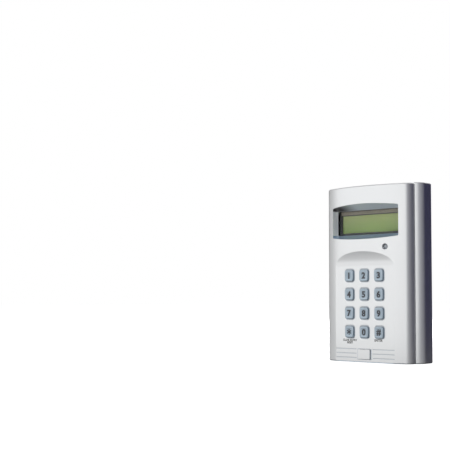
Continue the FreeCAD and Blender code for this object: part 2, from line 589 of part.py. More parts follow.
def rear_housing():
    skin = standing_body("rear_skin", lambda s: rear_outline(s, "0"), "0", REAR_TOP)
    break_ends(skin, REAR_TOP, RIM)
    hollow = standing_body("rear_hollow", lambda s: rear_outline(s, "sizes.rear_wall"),
                           "sizes.rear_wall", f"{REAR_TOP} - sizes.rear_wall")
    mouth = block("rear_mouth", (f"-{RIM_INSIDE}", RIM_INSIDE),
                  (f"{RIM} - {PAST}", f"{RIM} + sizes.rear_wall + {PAST}"),
                  ("sizes.rear_wall", f"{REAR_TOP} - sizes.rear_wall"))
    posts = [rod(f"inlet_post{n}", x, (INLET_BACK, BACK), "sizes.jack_z", "sizes.post_radius")
             for n, x in enumerate(inlet_post_places())]
    inside = cut("rear_inside", fuse("rear_space", [hollow, mouth]), posts)
    wall = (f"{REAR_INSIDE} - {PAST}", f"{BACK} + {PAST}")
    tools = [inside, rod("inlet_cut", "sizes.jack_x", wall, "sizes.jack_z",
                         "sizes.barrel_radius + sizes.fit_clear")]
    for number, z in enumerate(wall_hole_places()):
        tools.append(rod(f"wall_cut{number}", "0", wall, z, "sizes.wall_hole"))
    for number, x in enumerate(inlet_post_places()):
        tools.append(prism(f"post_pilot{number}", x,
                           (f"{INLET_BACK} - {PAST}", f"{INLET_BACK} + sizes.post_hole_deep"),
                           "sizes.jack_z", "sizes.screw_shank"))
    for number, x in enumerate(case_screw_places()):
        tools.append(post(f"case_hole{number}", x, CASE_SCREW_Y, (f"-{PAST}", f"sizes.rear_wall + {PAST}"),
                          "sizes.case_screw_shank + sizes.fit_clear"))
        tools.append(post(f"case_counterbore{number}", x, CASE_SCREW_Y,
                          (f"-{PAST}", "sizes.case_screw_head_high + sizes.case_screw_sink"),
                          "sizes.case_screw_head + sizes.fit_clear"))
    for side in (-1, 1):
        tip = f"{SEAM} + sizes.hook_reach"
        clear = "sizes.fit_clear"
        tools.append(block(f"notch{side + 1}",
                           (f"{side} * sizes.hook_x - sizes.hook_width / 2 - {clear}",
                            f"{side} * sizes.hook_x + sizes.hook_width / 2 + {clear}"),
                           (f"{tip} - sizes.nib_long - {clear}", f"{tip} + {clear}"),
                           (f"{HOOK_TOP} - {PAST}", f"{HOOK_TOP} + sizes.nib_high + {clear}")))
    keep("rear_housing", cut("rear_housing", skin, tools))


# ------------------------------------------------------------------------------------- small parts

def screw_group(name, places, seat, length):
    """Thread-cutting screws along Y, with their heads behind the plane of the seat."""
    made = []
    for number, (x, z) in enumerate(places):
        head = prism(f"{name}_head{number}", x, (seat, f"{seat} + sizes.screw_head_high"), z,
                     "sizes.screw_head", sides=12)
        shank = prism(f"{name}_shank{number}", x, (f"{seat} - {length}", f"{seat} + {ROOT}"), z,
                      "sizes.screw_shank")
        made.append(fuse(f"{name}_screw{number}", [head, shank]))
    return group(name, made)


def case_screws():
    made = []
    for number, x in enumerate(case_screw_places()):
        low = "sizes.case_screw_sink"
        head = post(f"case_head{number}", x, CASE_SCREW_Y,
                    (low, f"{low} + sizes.case_screw_head_high"), "sizes.case_screw_head")
        shank = post(f"case_shank{number}", x, CASE_SCREW_Y,
                     (f"{low} + {ROOT}", f"{LUG_BOTTOM} + sizes.case_screw_deep - sizes.screw_end_gap"),
                     "sizes.case_screw_shank")
        made.append(fuse(f"case_screw{number}", [head, shank]))
    group("case_screws", made)


def push_cap(name, outline, flange_size, face, chamfer, x, z):
    """A push cap: chamfered head, stop flange behind the panel and foot on its dome."""
    body = new_body(name)
    head = new_sketch(body, name + "_head", "XZ_Plane", f"-({face})")
    rounded_rectangle(head, *outline)
    pad(body, head, name + "_head_pad", f"{FLANGE_BACK} - ({face})", backwards=True)
    doc.recompute()
    level = measure(face)
    rim = edges_where(body.Shape, lambda e: on_plane(e, "Y", level))
    finish_edges(body, "Chamfer", rim, Size=chamfer)
    flange = new_sketch(body, name + "_flange", "XZ_Plane", f"-{FLANGE_FRONT}")
    rectangle(flange, *flange_size)
    pad(body, flange, name + "_flange_pad", "sizes.key_flange_thick", backwards=True)
    foot = new_sketch(body, name + "_foot", "XZ_Plane", f"-({FLANGE_BACK} - {ROOT})")
    rectangle(foot, "sizes.key_foot", "sizes.key_foot")
    pad(body, foot, name + "_foot_pad", f"{DOME_TOP} - ({FLANGE_BACK} - {ROOT})", backwards=True)
    return keep(name, place(body, x, z=z))


def keys():
    """Twelve keys with a flange all round, and the button, whose flange is at its two sides."""
    for name, x, z in key_places():
        push_cap(name, ("sizes.key_width", "sizes.key_height", "sizes.key_corner"),
                 ("sizes.key_width + 2 * sizes.key_flange", "sizes.key_height + 2 * sizes.key_flange"),
                 f"{PANEL} - sizes.key_proud", "sizes.key_chamfer", x, z)
    push_cap("square_button", ("sizes.button_width", "sizes.button_height", "sizes.button_corner"),
             ("sizes.button_width + 2 * sizes.button_flange", "sizes.button_height"),
             f"{PANEL} - sizes.button_proud", "sizes.button_chamfer", "0", "sizes.button_z")


def dome_places():
    for name, x, z in key_places():
        yield name, x, z
    yield "square_button", "0", "sizes.button_z"


def key_mat():
    """One rubber sheet on the board, with a hollow dome and a contact stud under every cap."""
    side = "sizes.key_pitch_x + sizes.mat_margin"
    sheet_block = block("mat_sheet", (f"-({side})", side), (f"{BOARD} - sizes.mat_thick", BOARD),
                        ("sizes.board_bottom + sizes.mat_inset", f"{TOP_ROW} + sizes.mat_margin"))
    domes, hollows, studs = [], [], []
    wall = "sizes.dome_wall"
    for name, x, z in dome_places():
        domes.append(frustum(f"{name}_dome", "sizes.dome_top", "sizes.dome_base", x,
                             (DOME_TOP, f"{BOARD} - sizes.mat_thick"), z))
        hollows.append(frustum(f"{name}_hollow", f"sizes.dome_top - {wall}", f"sizes.dome_base - {wall}",
                               x, (f"{DOME_TOP} + {wall}", BOARD), z))
        studs.append(centred(f"{name}_stud", x, "sizes.stud_width",
                             (f"{DOME_TOP} + {wall} - {ROOT}", f"{DOME_TOP} + {wall} + sizes.stud_long"),
                             z, "sizes.stud_width"))
    hollowed = cut("mat_hollowed", fuse("mat_top", [sheet_block] + domes), hollows)
    keep("key_mat", fuse("key_mat", [hollowed] + studs))


def main_board():
    plate = block("board_plate", ("-sizes.board_width / 2", "sizes.board_width / 2"),
                  (BOARD, BOARD_BACK), ("sizes.board_bottom", BOARD_TOP))
    through = (f"{BOARD} - {PAST}", f"{BOARD_BACK} + {PAST}")
    holes = [prism(f"board_hole{n}", x, through, z, "sizes.screw_shank + sizes.hole_clear")
             for n, (x, z) in enumerate(board_boss_places())]
    for number, x in enumerate(lamp_lead_places()):
        holes.append(centred(f"lead_hole{number}", x, "sizes.lead_hole", through, LAMP_Z,
                             "sizes.lead_hole"))
    keep("main_board", cut("main_board", plate, holes))
    screw_group("board_screws", list(board_boss_places()), BOARD_BACK,
                "(sizes.screw_long - sizes.screw_end_gap)")


def bezel_tab_places():
    """The bezel's folded tabs: three along its top edge and three along its bottom edge."""
    for column in (-1, 0, 1):
        for side in (-1, 1):
            yield (f"{column} * sizes.tab_pitch",
                   f"{DISPLAY_Z} + {side} * (sizes.bezel_height - sizes.bezel_sheet) / 2")


def display_module():
    keep("display_window", centred("display_window", "0", "sizes.window_width",
                                   (RECESS_END, f"{RECESS_END} + sizes.window_thick"), DISPLAY_Z,
                                   "sizes.window_height"))
    can = centred("bezel_can", "0", "sizes.bezel_width", (BEZEL, MODULE), DISPLAY_Z,
                  "sizes.bezel_height")
    room = centred("bezel_room", "0", "sizes.bezel_width - 2 * sizes.bezel_sheet",
                   (f"{BEZEL} + sizes.bezel_sheet", f"{MODULE} + {PAST}"), DISPLAY_Z,
                   "sizes.bezel_height - 2 * sizes.bezel_sheet")
    view = centred("bezel_view", "0", "sizes.view_width", (f"{BEZEL} - {PAST}", MODULE), VIEW_Z,
                   "sizes.view_height")
    frame = cut("bezel_frame", can, [room, view])
    tabs = [centred(f"bezel_tab{n}", x, "sizes.tab_width",
                    (f"{MODULE} - {ROOT}", f"{MODULE_BACK} + sizes.tab_reach"), z, "sizes.bezel_sheet")
            for n, (x, z) in enumerate(bezel_tab_places())]
    keep("display_bezel", fuse("display_bezel", [frame] + tabs))
    inside = "sizes.bezel_width - 2 * sizes.bezel_sheet - sizes.glass_slack"
    tall = "sizes.bezel_height - 2 * sizes.bezel_sheet - sizes.glass_slack"
    glass = f"({BEZEL} + sizes.bezel_sheet + sizes.seat_gap)"
    glass_back = f"({glass} + sizes.glass_thick)"
    keep("display_glass", centred("display_glass", "0", inside, (glass, glass_back), DISPLAY_Z, tall))
    keep("display_backlight", centred("display_backlight", "0", inside,
                                      (f"{glass_back} + sizes.seat_gap", f"{MODULE} - sizes.seat_gap"),
                                      DISPLAY_Z, tall))
    plate = centred("module_plate", "0", "sizes.module_width", (MODULE, MODULE_BACK), DISPLAY_Z,
                    "sizes.module_height")
    through = (f"{MODULE} - {PAST}", f"{MODULE_BACK} + {PAST}")
    holes = [prism(f"module_hole{n}", x, through, z, "sizes.screw_shank + sizes.hole_clear")
             for n, (x, z) in enumerate(module_boss_places())]
    for n, (x, z) in enumerate(bezel_tab_places()):
        holes.append(centred(f"tab_slot{n}", x, "sizes.tab_width + 2 * sizes.tab_clear", through, z,
                             "sizes.bezel_sheet + 2 * sizes.tab_clear"))
    keep("display_board", cut("display_board", plate, holes))
    screw_group("display_screws", list(module_boss_places()), MODULE_BACK,
                "(sizes.screw_long - sizes.screw_end_gap)")


def lamp_lead_places():
    return [f"sizes.lamp_x + {side} * sizes.lead_pitch / 2" for side in (-1, 1)]


def status_lamp():
    """A round lamp with a domed lens and a flange, its two leads, and a spacer on the board."""
    tip = f"({FRONT} + sizes.bow_radius - sqrt(sizes.bow_radius^2 - sizes.lamp_x^2) + sizes.lamp_sink)"
    base = f"({tip} + sizes.lamp_length)"
    body = new_body("lamp_lens")
    sketch = new_sketch(body, "lamp_half", "XY_Plane")
    r, y0, y1 = measure("sizes.lamp_radius"), measure(tip), measure(base)
    wide, step = measure("sizes.lamp_flange"), measure("sizes.lamp_flange_thick")
    sketch.addGeometry([line(0, y0, 0, y1), line(0, y1, wide, y1), line(wide, y1, wide, y1 - step),
                        line(wide, y1 - step, r, y1 - step), line(r, y1 - step, r, y0 + r),
                        arc(0, y0 + r, r, 270, 360)])
    fix(sketch,
        ("Coincident", 0, 2, 1, 1), ("Coincident", 1, 2, 2, 1), ("Coincident", 2, 2, 3, 1),
        ("Coincident", 3, 2, 4, 1), ("Tangent", 4, 2, 5, 2), ("Coincident", 5, 1, 0, 1),
        ("PointOnObject", 0, 1, -2), ("PointOnObject", 0, 2, -2), ("PointOnObject", 5, 3, -2),
        ("Horizontal", 1), ("Vertical", 2), ("Horizontal", 3), ("Vertical", 4),
        ("Radius", 5, "sizes.lamp_radius"), ("DistanceX", 1, 1, 1, 2, "sizes.lamp_flange"),
        ("DistanceY", 2, 2, 2, 1, "sizes.lamp_flange_thick"), ("DistanceY", -1, 1, 0, 1, tip),
        ("DistanceY", -1, 1, 0, 2, base))
    turned = body.newObject("PartDesign::Revolution", "lamp_turn")
    turned.Profile = sketch
    turned.ReferenceAxis = (sketch, ["V_Axis"])
    turned.Angle = 360
    keep("status_lamp", place(body, "sizes.lamp_x", z=LAMP_Z))
    group("lamp_leads", [centred(f"lamp_lead{n}", x, "sizes.lead_size",
                                 (base, f"{BOARD_BACK} + sizes.lead_end"), LAMP_Z, "sizes.lead_size")
                         for n, x in enumerate(lamp_lead_places())])
    spacer = rod("spacer_rod", "sizes.lamp_x",
                 (f"{base} + sizes.seat_gap", f"{BOARD} - sizes.seat_gap"), LAMP_Z,
                 "sizes.lamp_flange - sizes.spacer_step")
    bores = [centred(f"spacer_bore{n}", x, "sizes.lead_hole", (base, BOARD), LAMP_Z, "sizes.lead_hole")
             for n, x in enumerate(lamp_lead_places())]
    keep("lamp_spacer", cut("lamp_spacer", spacer, bores))


def board_parts():
    back = f"({BOARD_BACK} + sizes.seat_gap)"
    buzzer_z, buzzer_end = f"{BOARD_TOP} - sizes.buzzer_drop", f"{back} + sizes.buzzer_high"
    shell = rod("buzzer_case", "sizes.buzzer_x", (back, buzzer_end), buzzer_z, "sizes.buzzer_radius")
    port = rod("buzzer_hole", "sizes.buzzer_x",
               (f"{buzzer_end} - sizes.buzzer_port", f"{buzzer_end} + {PAST}"), buzzer_z,
               "sizes.buzzer_port")
    keep("buzzer", cut("buzzer", shell, [port]))
    keep("controller_chip", centred("controller_chip", "0", "sizes.chip_size",
                                    (back, f"{back} + sizes.chip_high"), "sizes.chip_z",
                                    "sizes.chip_size"))
    front = f"({back} + sizes.radio_thick)"
    plate = centred("radio_plate", "sizes.radio_x", "sizes.radio_width", (back, front), "sizes.radio_z",
                    "sizes.radio_height")
    can = centred("radio_can", "sizes.radio_x", "sizes.radio_width - 2 * sizes.can_inset",
                  (f"{front} - {ROOT}", f"{front} + sizes.can_high"),
                  "(sizes.radio_z - sizes.antenna_high / 2)",
                  "sizes.radio_height - sizes.antenna_high - 2 * sizes.can_inset")
    keep("radio_module", fuse("radio_module", [plate, can]))


def flat_lead(name, corners, width, x):
    """A flat lead: a strip drawn from the side through its corners and padded across.

    A corner is the y and z of the lead's middle line and how many half thicknesses it is moved."""
    half = "sizes.lead_thick / 2"
    body = new_body(name)
    sketch = new_sketch(body, name + "_side", "YZ_Plane", f"{x} - {width} / 2")
    outline = [(f"{y} + {sy} * {half}", f"{z} + {sz} * {half}") for y, z, sy, sz in corners]
    values = [(measure(y), measure(z)) for y, z in outline]
    count = len(values)
    sketch.addGeometry([line(*values[n], *values[(n + 1) % count]) for n in range(count)])
    for n in range(count):
        fix(sketch, ("Coincident", n, 2, (n + 1) % count, 1))
    for n, (y, z) in enumerate(outline):
        fix(sketch, ("DistanceX", -1, 1, n, 1, y), ("DistanceY", -1, 1, n, 1, z))
    pad(body, sketch, name + "_pad", width)
    keep(name, body)


def lead_plug(name, x, width, z):
    """The plug of a flat lead, on the back of the main board."""
    keep(name, centred(name, x, f"{width} + 2 * sizes.plug_side",
                       (f"{BOARD_BACK} + sizes.seat_gap", f"{BOARD_BACK} + sizes.plug_high"), z,
                       "sizes.plug_size"))


def display_lead():
    """The flat lead from the display board down to a plug on the main board."""
    top_z = f"({DISPLAY_Z} - sizes.module_height / 2 + sizes.ribbon_lap)"
    turn_z = f"({DISPLAY_Z} - sizes.module_height / 2 - sizes.ribbon_turn)"
    plug_z = f"({BOARD_TOP} - sizes.plug_drop)"
    out_y = f"({MODULE_BACK} + sizes.ribbon_off)"
    in_y = f"({BOARD_BACK} + sizes.plug_high + sizes.lead_thick / 2)"
    ahead = [(out_y, top_z, -1, 1), (out_y, turn_z, -1, -0.4),
             (in_y, plug_z, -1, 2), (in_y, plug_z, -1, -2)]
    behind = [(y, z, 1, sz) for y, z, _, sz in reversed(ahead)]
    flat_lead("display_ribbon", ahead + behind, "sizes.ribbon_width", "0")
    lead_plug("ribbon_plug", "0", "sizes.ribbon_width", plug_z)


def inlet_lead():
    """The flat power lead from the inlet board up to a plug on the main board."""
    low_z = "(sizes.jack_z + sizes.inlet_lead_rise)"
    plug_z = f"({low_z} + sizes.inlet_lead_up)"
    turn_y = f"({INLET_FRONT} - sizes.inlet_lead_off)"
    plug_y = f"({BOARD_BACK} + sizes.plug_high)"
    flat_lead("inlet_lead", [
        (INLET_FRONT, low_z, 0, -1), (turn_y, low_z, -1, -1), (turn_y, plug_z, -1, -1),
        (plug_y, plug_z, 0, -1), (plug_y, plug_z, 0, 1), (turn_y, plug_z, 1, 1),
        (turn_y, low_z, 1, 1), (INLET_FRONT, low_z, 0, 1)], "sizes.inlet_lead_width", "sizes.jack_x")
    lead_plug("inlet_plug", "sizes.jack_x", "sizes.inlet_lead_width", plug_z)


def power_inlet():
    """The power jack on its own small board, which two posts of the rear housing carry."""
    mouth = f"({BACK} - sizes.jack_clear)"
    bottom = f"({mouth} - sizes.jack_bore_deep)"
    box = centred("jack_box", "sizes.jack_x", "sizes.jack_width",
                  (INLET_BACK, f"{REAR_INSIDE} - sizes.jack_clear"), "sizes.jack_z", "sizes.jack_height")
    barrel = rod("jack_barrel", "sizes.jack_x", (f"{REAR_INSIDE} - sizes.barrel_root", mouth),
                 "sizes.jack_z", "sizes.barrel_radius")
    bore = rod("jack_hole", "sizes.jack_x", (bottom, f"{mouth} + {PAST}"), "sizes.jack_z",
               "sizes.jack_bore")
    keep("power_jack", cut("power_jack", fuse("jack_solid", [box, barrel]), [bore]))
    keep("jack_pin", rod("jack_pin", "sizes.jack_x", (bottom, f"{mouth} - sizes.pin_short"),
                         "sizes.jack_z", "sizes.jack_pin"))
    plate = centred("inlet_plate", "sizes.jack_x", "sizes.inlet_width",
                    (INLET_FRONT, f"{INLET_BACK} - sizes.seat_gap"), "sizes.jack_z",
                    "sizes.inlet_height")
    holes = [prism(f"inlet_hole{n}", x, (f"{INLET_FRONT} - {PAST}", f"{INLET_BACK} + {PAST}"),
                   "sizes.jack_z", "sizes.screw_shank + sizes.hole_clear")
             for n, x in enumerate(inlet_post_places())]
    keep("inlet_board", cut("inlet_board", plate, holes))
    made = []
    for number, x in enumerate(inlet_post_places()):
        head = prism(f"inlet_head{number}", x, (f"{INLET_FRONT} - sizes.screw_head_high", INLET_FRONT),
                     "sizes.jack_z", "sizes.screw_head", sides=12)
        end = f"{INLET_BACK} + sizes.post_hole_deep - sizes.screw_end_gap"
        shank = prism(f"inlet_shank{number}", x, (f"{INLET_FRONT} - {ROOT}", end), "sizes.jack_z",
                      "sizes.screw_shank")
        made.append(fuse(f"inlet_screw{number}", [head, shank]))
    group("inlet_screws", made)


def check():
    """Stops the script where an object failed, or a solid or a sub-part has no valid closed shape."""
    failed = [o.Name for o in doc.Objects if set(o.State) & {"Invalid", "Error"}]
    shaped = [o for o in doc.Objects if hasattr(o, "Shape")]
    failed += [o.Name for o in shaped if o.Shape.Solids and not o.Shape.isValid()]
    if failed:
        raise SystemExit(f"failed objects: {failed}")
    for name, target in nodes.items():
        shape = target.Shape
        if shape.isNull() or not shape.isValid() or not shape.Solids:
            raise SystemExit(f"{name} has no valid shape")


front_cover()
rear_housing()
keys()
key_mat()
main_board()
display_module()
status_lamp()
board_parts()
display_lead()
power_inlet()
inlet_lead()
case_screws()
doc.recompute()
check()
os.makedirs("parts", exist_ok=True)
for name, target in nodes.items():
    target.Shape.exportStep(f"parts/{name}.step")
    print(name, len(target.Shape.Solids), round(target.Shape.Volume, 1))
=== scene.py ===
"""Looks of the queue keypad terminal: shells, keys, key mat, prints, finishes, floor and light."""
import json
import math

import bmesh
import bpy
from mathutils import Matrix, Vector


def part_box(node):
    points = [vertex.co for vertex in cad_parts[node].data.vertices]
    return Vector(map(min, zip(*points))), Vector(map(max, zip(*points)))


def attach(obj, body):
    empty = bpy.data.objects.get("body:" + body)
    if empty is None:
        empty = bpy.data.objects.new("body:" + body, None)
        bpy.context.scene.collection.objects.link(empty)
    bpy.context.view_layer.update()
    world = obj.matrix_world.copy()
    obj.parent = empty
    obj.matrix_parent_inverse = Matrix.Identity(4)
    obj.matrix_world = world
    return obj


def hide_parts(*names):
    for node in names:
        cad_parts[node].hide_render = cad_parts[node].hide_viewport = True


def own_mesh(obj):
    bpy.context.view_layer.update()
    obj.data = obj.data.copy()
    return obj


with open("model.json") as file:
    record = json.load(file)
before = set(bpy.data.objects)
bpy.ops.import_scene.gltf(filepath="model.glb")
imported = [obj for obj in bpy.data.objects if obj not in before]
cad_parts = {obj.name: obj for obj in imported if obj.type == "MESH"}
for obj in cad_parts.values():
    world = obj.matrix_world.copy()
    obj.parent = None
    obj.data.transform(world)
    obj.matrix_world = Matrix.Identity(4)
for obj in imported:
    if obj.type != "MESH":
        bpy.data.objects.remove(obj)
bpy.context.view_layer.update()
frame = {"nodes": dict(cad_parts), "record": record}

MM = 0.001
MERGE = 0.001 * MM
FACING_AGREES = 0.999
NODES = frame["nodes"]
COVER_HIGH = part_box("front_cover")[1]
REAR_LOW, REAR_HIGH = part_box("rear_housing")
WINDOW_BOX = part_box("display_window")
BACK = REAR_HIGH.y
DEPTH = 39.5 * MM
FRONT = BACK - DEPTH
FORWARD, BACKWARD = (0, -1, 0), (0, 1, 0)

# The round faces of the two shells: centres seen from above, and radii.
BOW_RADIUS = 115.0 * MM
BOW_CENTRE = (0.0, FRONT + BOW_RADIUS)
COVER_CORNER = 8.7 * MM
CORNER_X = COVER_HIGH.x - COVER_CORNER
CORNER_Y = BOW_CENTRE[1] - math.sqrt((BOW_RADIUS - COVER_CORNER) ** 2 - CORNER_X ** 2)
SHOULDER_RADIUS = 10.5 * MM
SHOULDER_START = math.radians(35)
SHOULDER_X = REAR_HIGH.x - SHOULDER_RADIUS
SHOULDER_Y = REAR_LOW.y + SHOULDER_RADIUS * math.cos(SHOULDER_START)
REAR_CORNER = 3.0 * MM

# The flat key panel and the scoop that runs up from it to the bow, seen from the side.
PANEL_DROP = 4.9 * MM
PANEL_Y = FRONT + PANEL_DROP
PANEL_BACK = PANEL_Y + 3.0 * MM
SCOOP_RADIUS = 22.4 * MM
SCOOP_TOP = 102.9 * MM
SCOOP_Y = PANEL_Y - SCOOP_RADIUS
SCOOP_Z = SCOOP_TOP - math.sqrt(SCOOP_RADIUS ** 2 - (SCOOP_RADIUS - PANEL_DROP) ** 2)

# The flared recess in front of the display window.
RECESS_HALF = 38.1 * MM
RECESS_FLARE = 5.2 * MM
WINDOW_HALF = 11.6 * MM
WINDOW_MIDDLE = (WINDOW_BOX[0].z + WINDOW_BOX[1].z) / 2
WINDOW_LOW = WINDOW_MIDDLE - WINDOW_HALF
WINDOW_HIGH = WINDOW_MIDDLE + WINDOW_HALF

DIGITS = {f"key_{number}": str(number) for number in range(1, 10)}
DIGITS.update(key_star="*", key_0="0", key_hash="#")


# ------------------------------------------------------------------------------------- node helpers

class NodeTree:
    """Short calls for the nodes of a material or of the world."""

    def __init__(self, tree):
        self.tree = tree

    def node(self, kind, **settings):
        """Adds a node. A setting is an input of that name, or else a property."""
        made = self.tree.nodes.new(kind)
        for key, value in settings.items():
            if key in made.inputs:
                made.inputs[key].default_value = value
            else:
                setattr(made, key, value)
        return made

    def link(self, source, target):
        self.tree.links.new(source, target)

    def sum_or_product(self, operation, first, second, **settings):
        made = self.node("ShaderNodeMath", operation=operation, **settings)
        self.link(first, made.inputs[0])
        self.link(second, made.inputs[1])
        return made.outputs[0]

    def times(self, first, second):
        return self.sum_or_product("MULTIPLY", first, second)

    def plus(self, first, second, clamp=False):
        return self.sum_or_product("ADD", first, second, use_clamp=clamp)

    def spread(self, value, low, high, start=0.0, end=1.0):
        """Carries a value that runs from start to end over to low to high, and holds it there."""
        made = self.node("ShaderNodeMapRange")
        for key, number in (("From Min", start), ("From Max", end), ("To Min", low), ("To Max", high)):
            made.inputs[key].default_value = number
        self.link(value, made.inputs["Value"])
        return made.outputs["Result"]

    def rise(self, value, start, end):
        """Nothing before start, one after end."""
        return self.spread(value, 0, 1, start, end)

    def fall(self, value, start, end):
        """One before start, nothing after end."""
        return self.spread(value, 1, 0, start, end)

    def band(self, value, start, end, edge):
        """One between start and end, fading to nothing over the edge's width outside them."""
        return self.times(self.rise(value, start - edge, start), self.fall(value, end, end + edge))


class Material(NodeTree):
    """A finish: its shader and short calls for the patterns that feed it."""

    def __init__(self, name, colour, roughness, **inputs):
        self.data = bpy.data.materials.new(name)
        self.data.use_nodes = True
        super().__init__(self.data.node_tree)
        self.shader = self.tree.nodes["Principled BSDF"]
        self.shader.inputs["Base Color"].default_value = (*colour, 1)
        self.shader.inputs["Roughness"].default_value = roughness
        for key, value in inputs.items():
            self.shader.inputs[key.replace("_", " ")].default_value = value
        self.place = self.node("ShaderNodeTexCoord").outputs["Object"]

    def axis(self, name):
        """The place along X, Y or Z."""
        made = self.node("ShaderNodeSeparateXYZ")
        self.link(self.place, made.inputs[0])
        return made.outputs[name]

    def length(self, vector):
        """The length of a vector, such as how far a place is from the origin."""
        made = self.node("ShaderNodeVectorMath", operation="LENGTH")
        self.link(vector, made.inputs[0])
        return made.outputs["Value"]

    def noise(self, scale, detail=3.0):
        """Soft noise through the body, of so many lumps to the metre."""
        made = self.node("ShaderNodeTexNoise", Scale=scale, Detail=detail)
        self.link(self.place, made.inputs["Vector"])
        return made.outputs["Fac"]

    def clouds(self, scale, edge, detail=3.0):
        """Soft patches of nothing and one: the noise below edge, and above one less edge."""
        return self.rise(self.noise(scale, detail), edge, 1 - edge)

    def blend(self, factor, first, second):
        """Mixes two colours, each a triple or a socket."""
        made = self.node("ShaderNodeMix", data_type="RGBA")
        self.link(factor, made.inputs[0])
        for slot, colour in ((6, first), (7, second)):
            if isinstance(colour, tuple):
                made.inputs[slot].default_value = (*colour, 1)
            else:
                self.link(colour, made.inputs[slot])
        return made.outputs[2]

    def colour(self, socket):
        self.link(socket, self.shader.inputs["Base Color"])

    def rough(self, scale, low, high):
        """Lets the roughness wander between two values."""
        self.link(self.spread(self.noise(scale), low, high), self.shader.inputs["Roughness"])

    def bump(self, height, depth, strength, edge=0.0):
        """Raises the surface by a pattern, and rounds its edges to the eye where a width is given."""
        made = self.node("ShaderNodeBump", Strength=strength, Distance=depth)
        self.link(height, made.inputs["Height"])
        if edge:
            soft = self.node("ShaderNodeBevel", samples=6, Radius=edge)
            self.link(soft.outputs["Normal"], made.inputs["Normal"])
        self.link(made.outputs["Normal"], self.shader.inputs["Normal"])


# ------------------------------------------------------------------------------ lacquer of the case

LACQUER = (0.83, 0.85, 0.855)
LACQUER_DULL = (0.815, 0.83, 0.84)
LACQUER_PALE = (0.85, 0.86, 0.865)
LACQUER_METAL = 0.42

# Walls of the display recess, which start a little behind the bow: blue painted shade on the floor,
# painted light on the ends, and a painted shadow that darkens the top wall on its left.
RECESS_TOP_PAINTED_SHADE = (0.62, 0.69, 0.75)
RECESS_PAINTED_SHADOW = (0.05, 0.047, 0.047)
RECESS_SIDE_PAINTED_LIGHT = (0.95, 0.98, 1.0)
RECESS_FLOOR_PAINTED_SHADE = (0.25, 0.345, 0.48)
RECESS_METAL = 0.05
SHADE_START, SHADE_END = -29 * MM, -11 * MM
WALL_EDGE = 0.5 * MM
SUNK_END, SUNK_START = 0.5 * MM, 0.2 * MM
RISE_EDGE = 0.3 * MM
WIDTH_EDGE = 0.2 * MM
REAR_CLEAR = 1.0 * MM

# Painted shade on the walls of the key wells and grooves, which start behind the panel and end below
# the scoop.
SLOT_PAINTED_SHADE = (0.58, 0.61, 0.64)
SLOT_HALF = 33 * MM
SLOT_START = 0.35 * MM
SLOT_EDGE = 0.15 * MM
SLOT_TOP, SLOT_END = 98 * MM, 100 * MM

# Painted shade on the sides of the square button and in the gap round it.
BUTTON_PAINTED_SHADE = (0.62, 0.66, 0.70)
BUTTON_FACE = 0.45 * MM
BUTTON_EDGE = 0.1 * MM
BUTTON_GAP = 0.5 * MM

# Painted shade along the lower edge of the case.
BOTTOM_PAINTED_SHADE = (0.45, 0.52, 0.60)
BOTTOM_LOW, BOTTOM_HIGH = 0.1 * MM, 0.7 * MM
BOTTOM_FADE = 0.08 * MM


def recess_tones(finish, x, z):
    """Painted shade and light in the recess: blue painted shade on the floor, painted light on the
    pale ends, and a painted shadow that darkens the top wall towards its left end.
    """
    top = finish.blend(finish.rise(x, SHADE_START, SHADE_END), RECESS_PAINTED_SHADOW, RECESS_TOP_PAINTED_SHADE)
    at_top = finish.rise(z, WINDOW_HIGH - WALL_EDGE, WINDOW_HIGH + WALL_EDGE)
    above_floor = finish.rise(z, WINDOW_LOW - WALL_EDGE, WINDOW_LOW + WALL_EDGE)
    return finish.blend(above_floor, RECESS_FLOOR_PAINTED_SHADE, finish.blend(at_top, RECESS_SIDE_PAINTED_LIGHT, top))


def recess_mask(finish, x, y, z):
    """One on the walls of the display recess, behind the bow and in front of the rear housing."""
    plan = finish.node("ShaderNodeVectorMath", operation="MULTIPLY_ADD")
    finish.link(finish.place, plan.inputs[0])
    plan.inputs[1].default_value = (1, 1, 0)
    plan.inputs[2].default_value = (-BOW_CENTRE[0], -BOW_CENTRE[1], 0)
    reach = finish.length(plan.outputs[0])
    sunk = finish.fall(reach, BOW_RADIUS - SUNK_END, BOW_RADIUS - SUNK_START)
    height = finish.band(z, WINDOW_LOW - RECESS_FLARE, WINDOW_HIGH + RECESS_FLARE, RISE_EDGE)
    width = finish.band(x, -RECESS_HALF, RECESS_HALF, WIDTH_EDGE)
    before = finish.fall(y, REAR_LOW.y - REAR_CLEAR, REAR_LOW.y)
    return finish.times(finish.times(sunk, height), finish.times(width, before))


def slot_mask(finish, x, y, z):
    """One on the walls of the key wells and the grooves of the panel, where shade is painted."""
    deep = finish.band(y, PANEL_Y + SLOT_START, PANEL_BACK, SLOT_EDGE)
    below = finish.fall(z, SLOT_TOP, SLOT_END)
    width = finish.band(x, -SLOT_HALF, SLOT_HALF, WIDTH_EDGE)
    return finish.times(finish.times(deep, below), width)


def button_mask(finish, x, y, z):
    """One on the sides of the square button, behind its face, where shade is painted."""
    low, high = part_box("square_button")
    sides = finish.band(y, low.y + BUTTON_FACE, PANEL_BACK, BUTTON_EDGE)
    width = finish.band(x, low.x, high.x, WIDTH_EDGE)
    height = finish.band(z, low.z - BUTTON_GAP, high.z + BUTTON_GAP, WIDTH_EDGE)
    return finish.times(sides, finish.times(width, height))


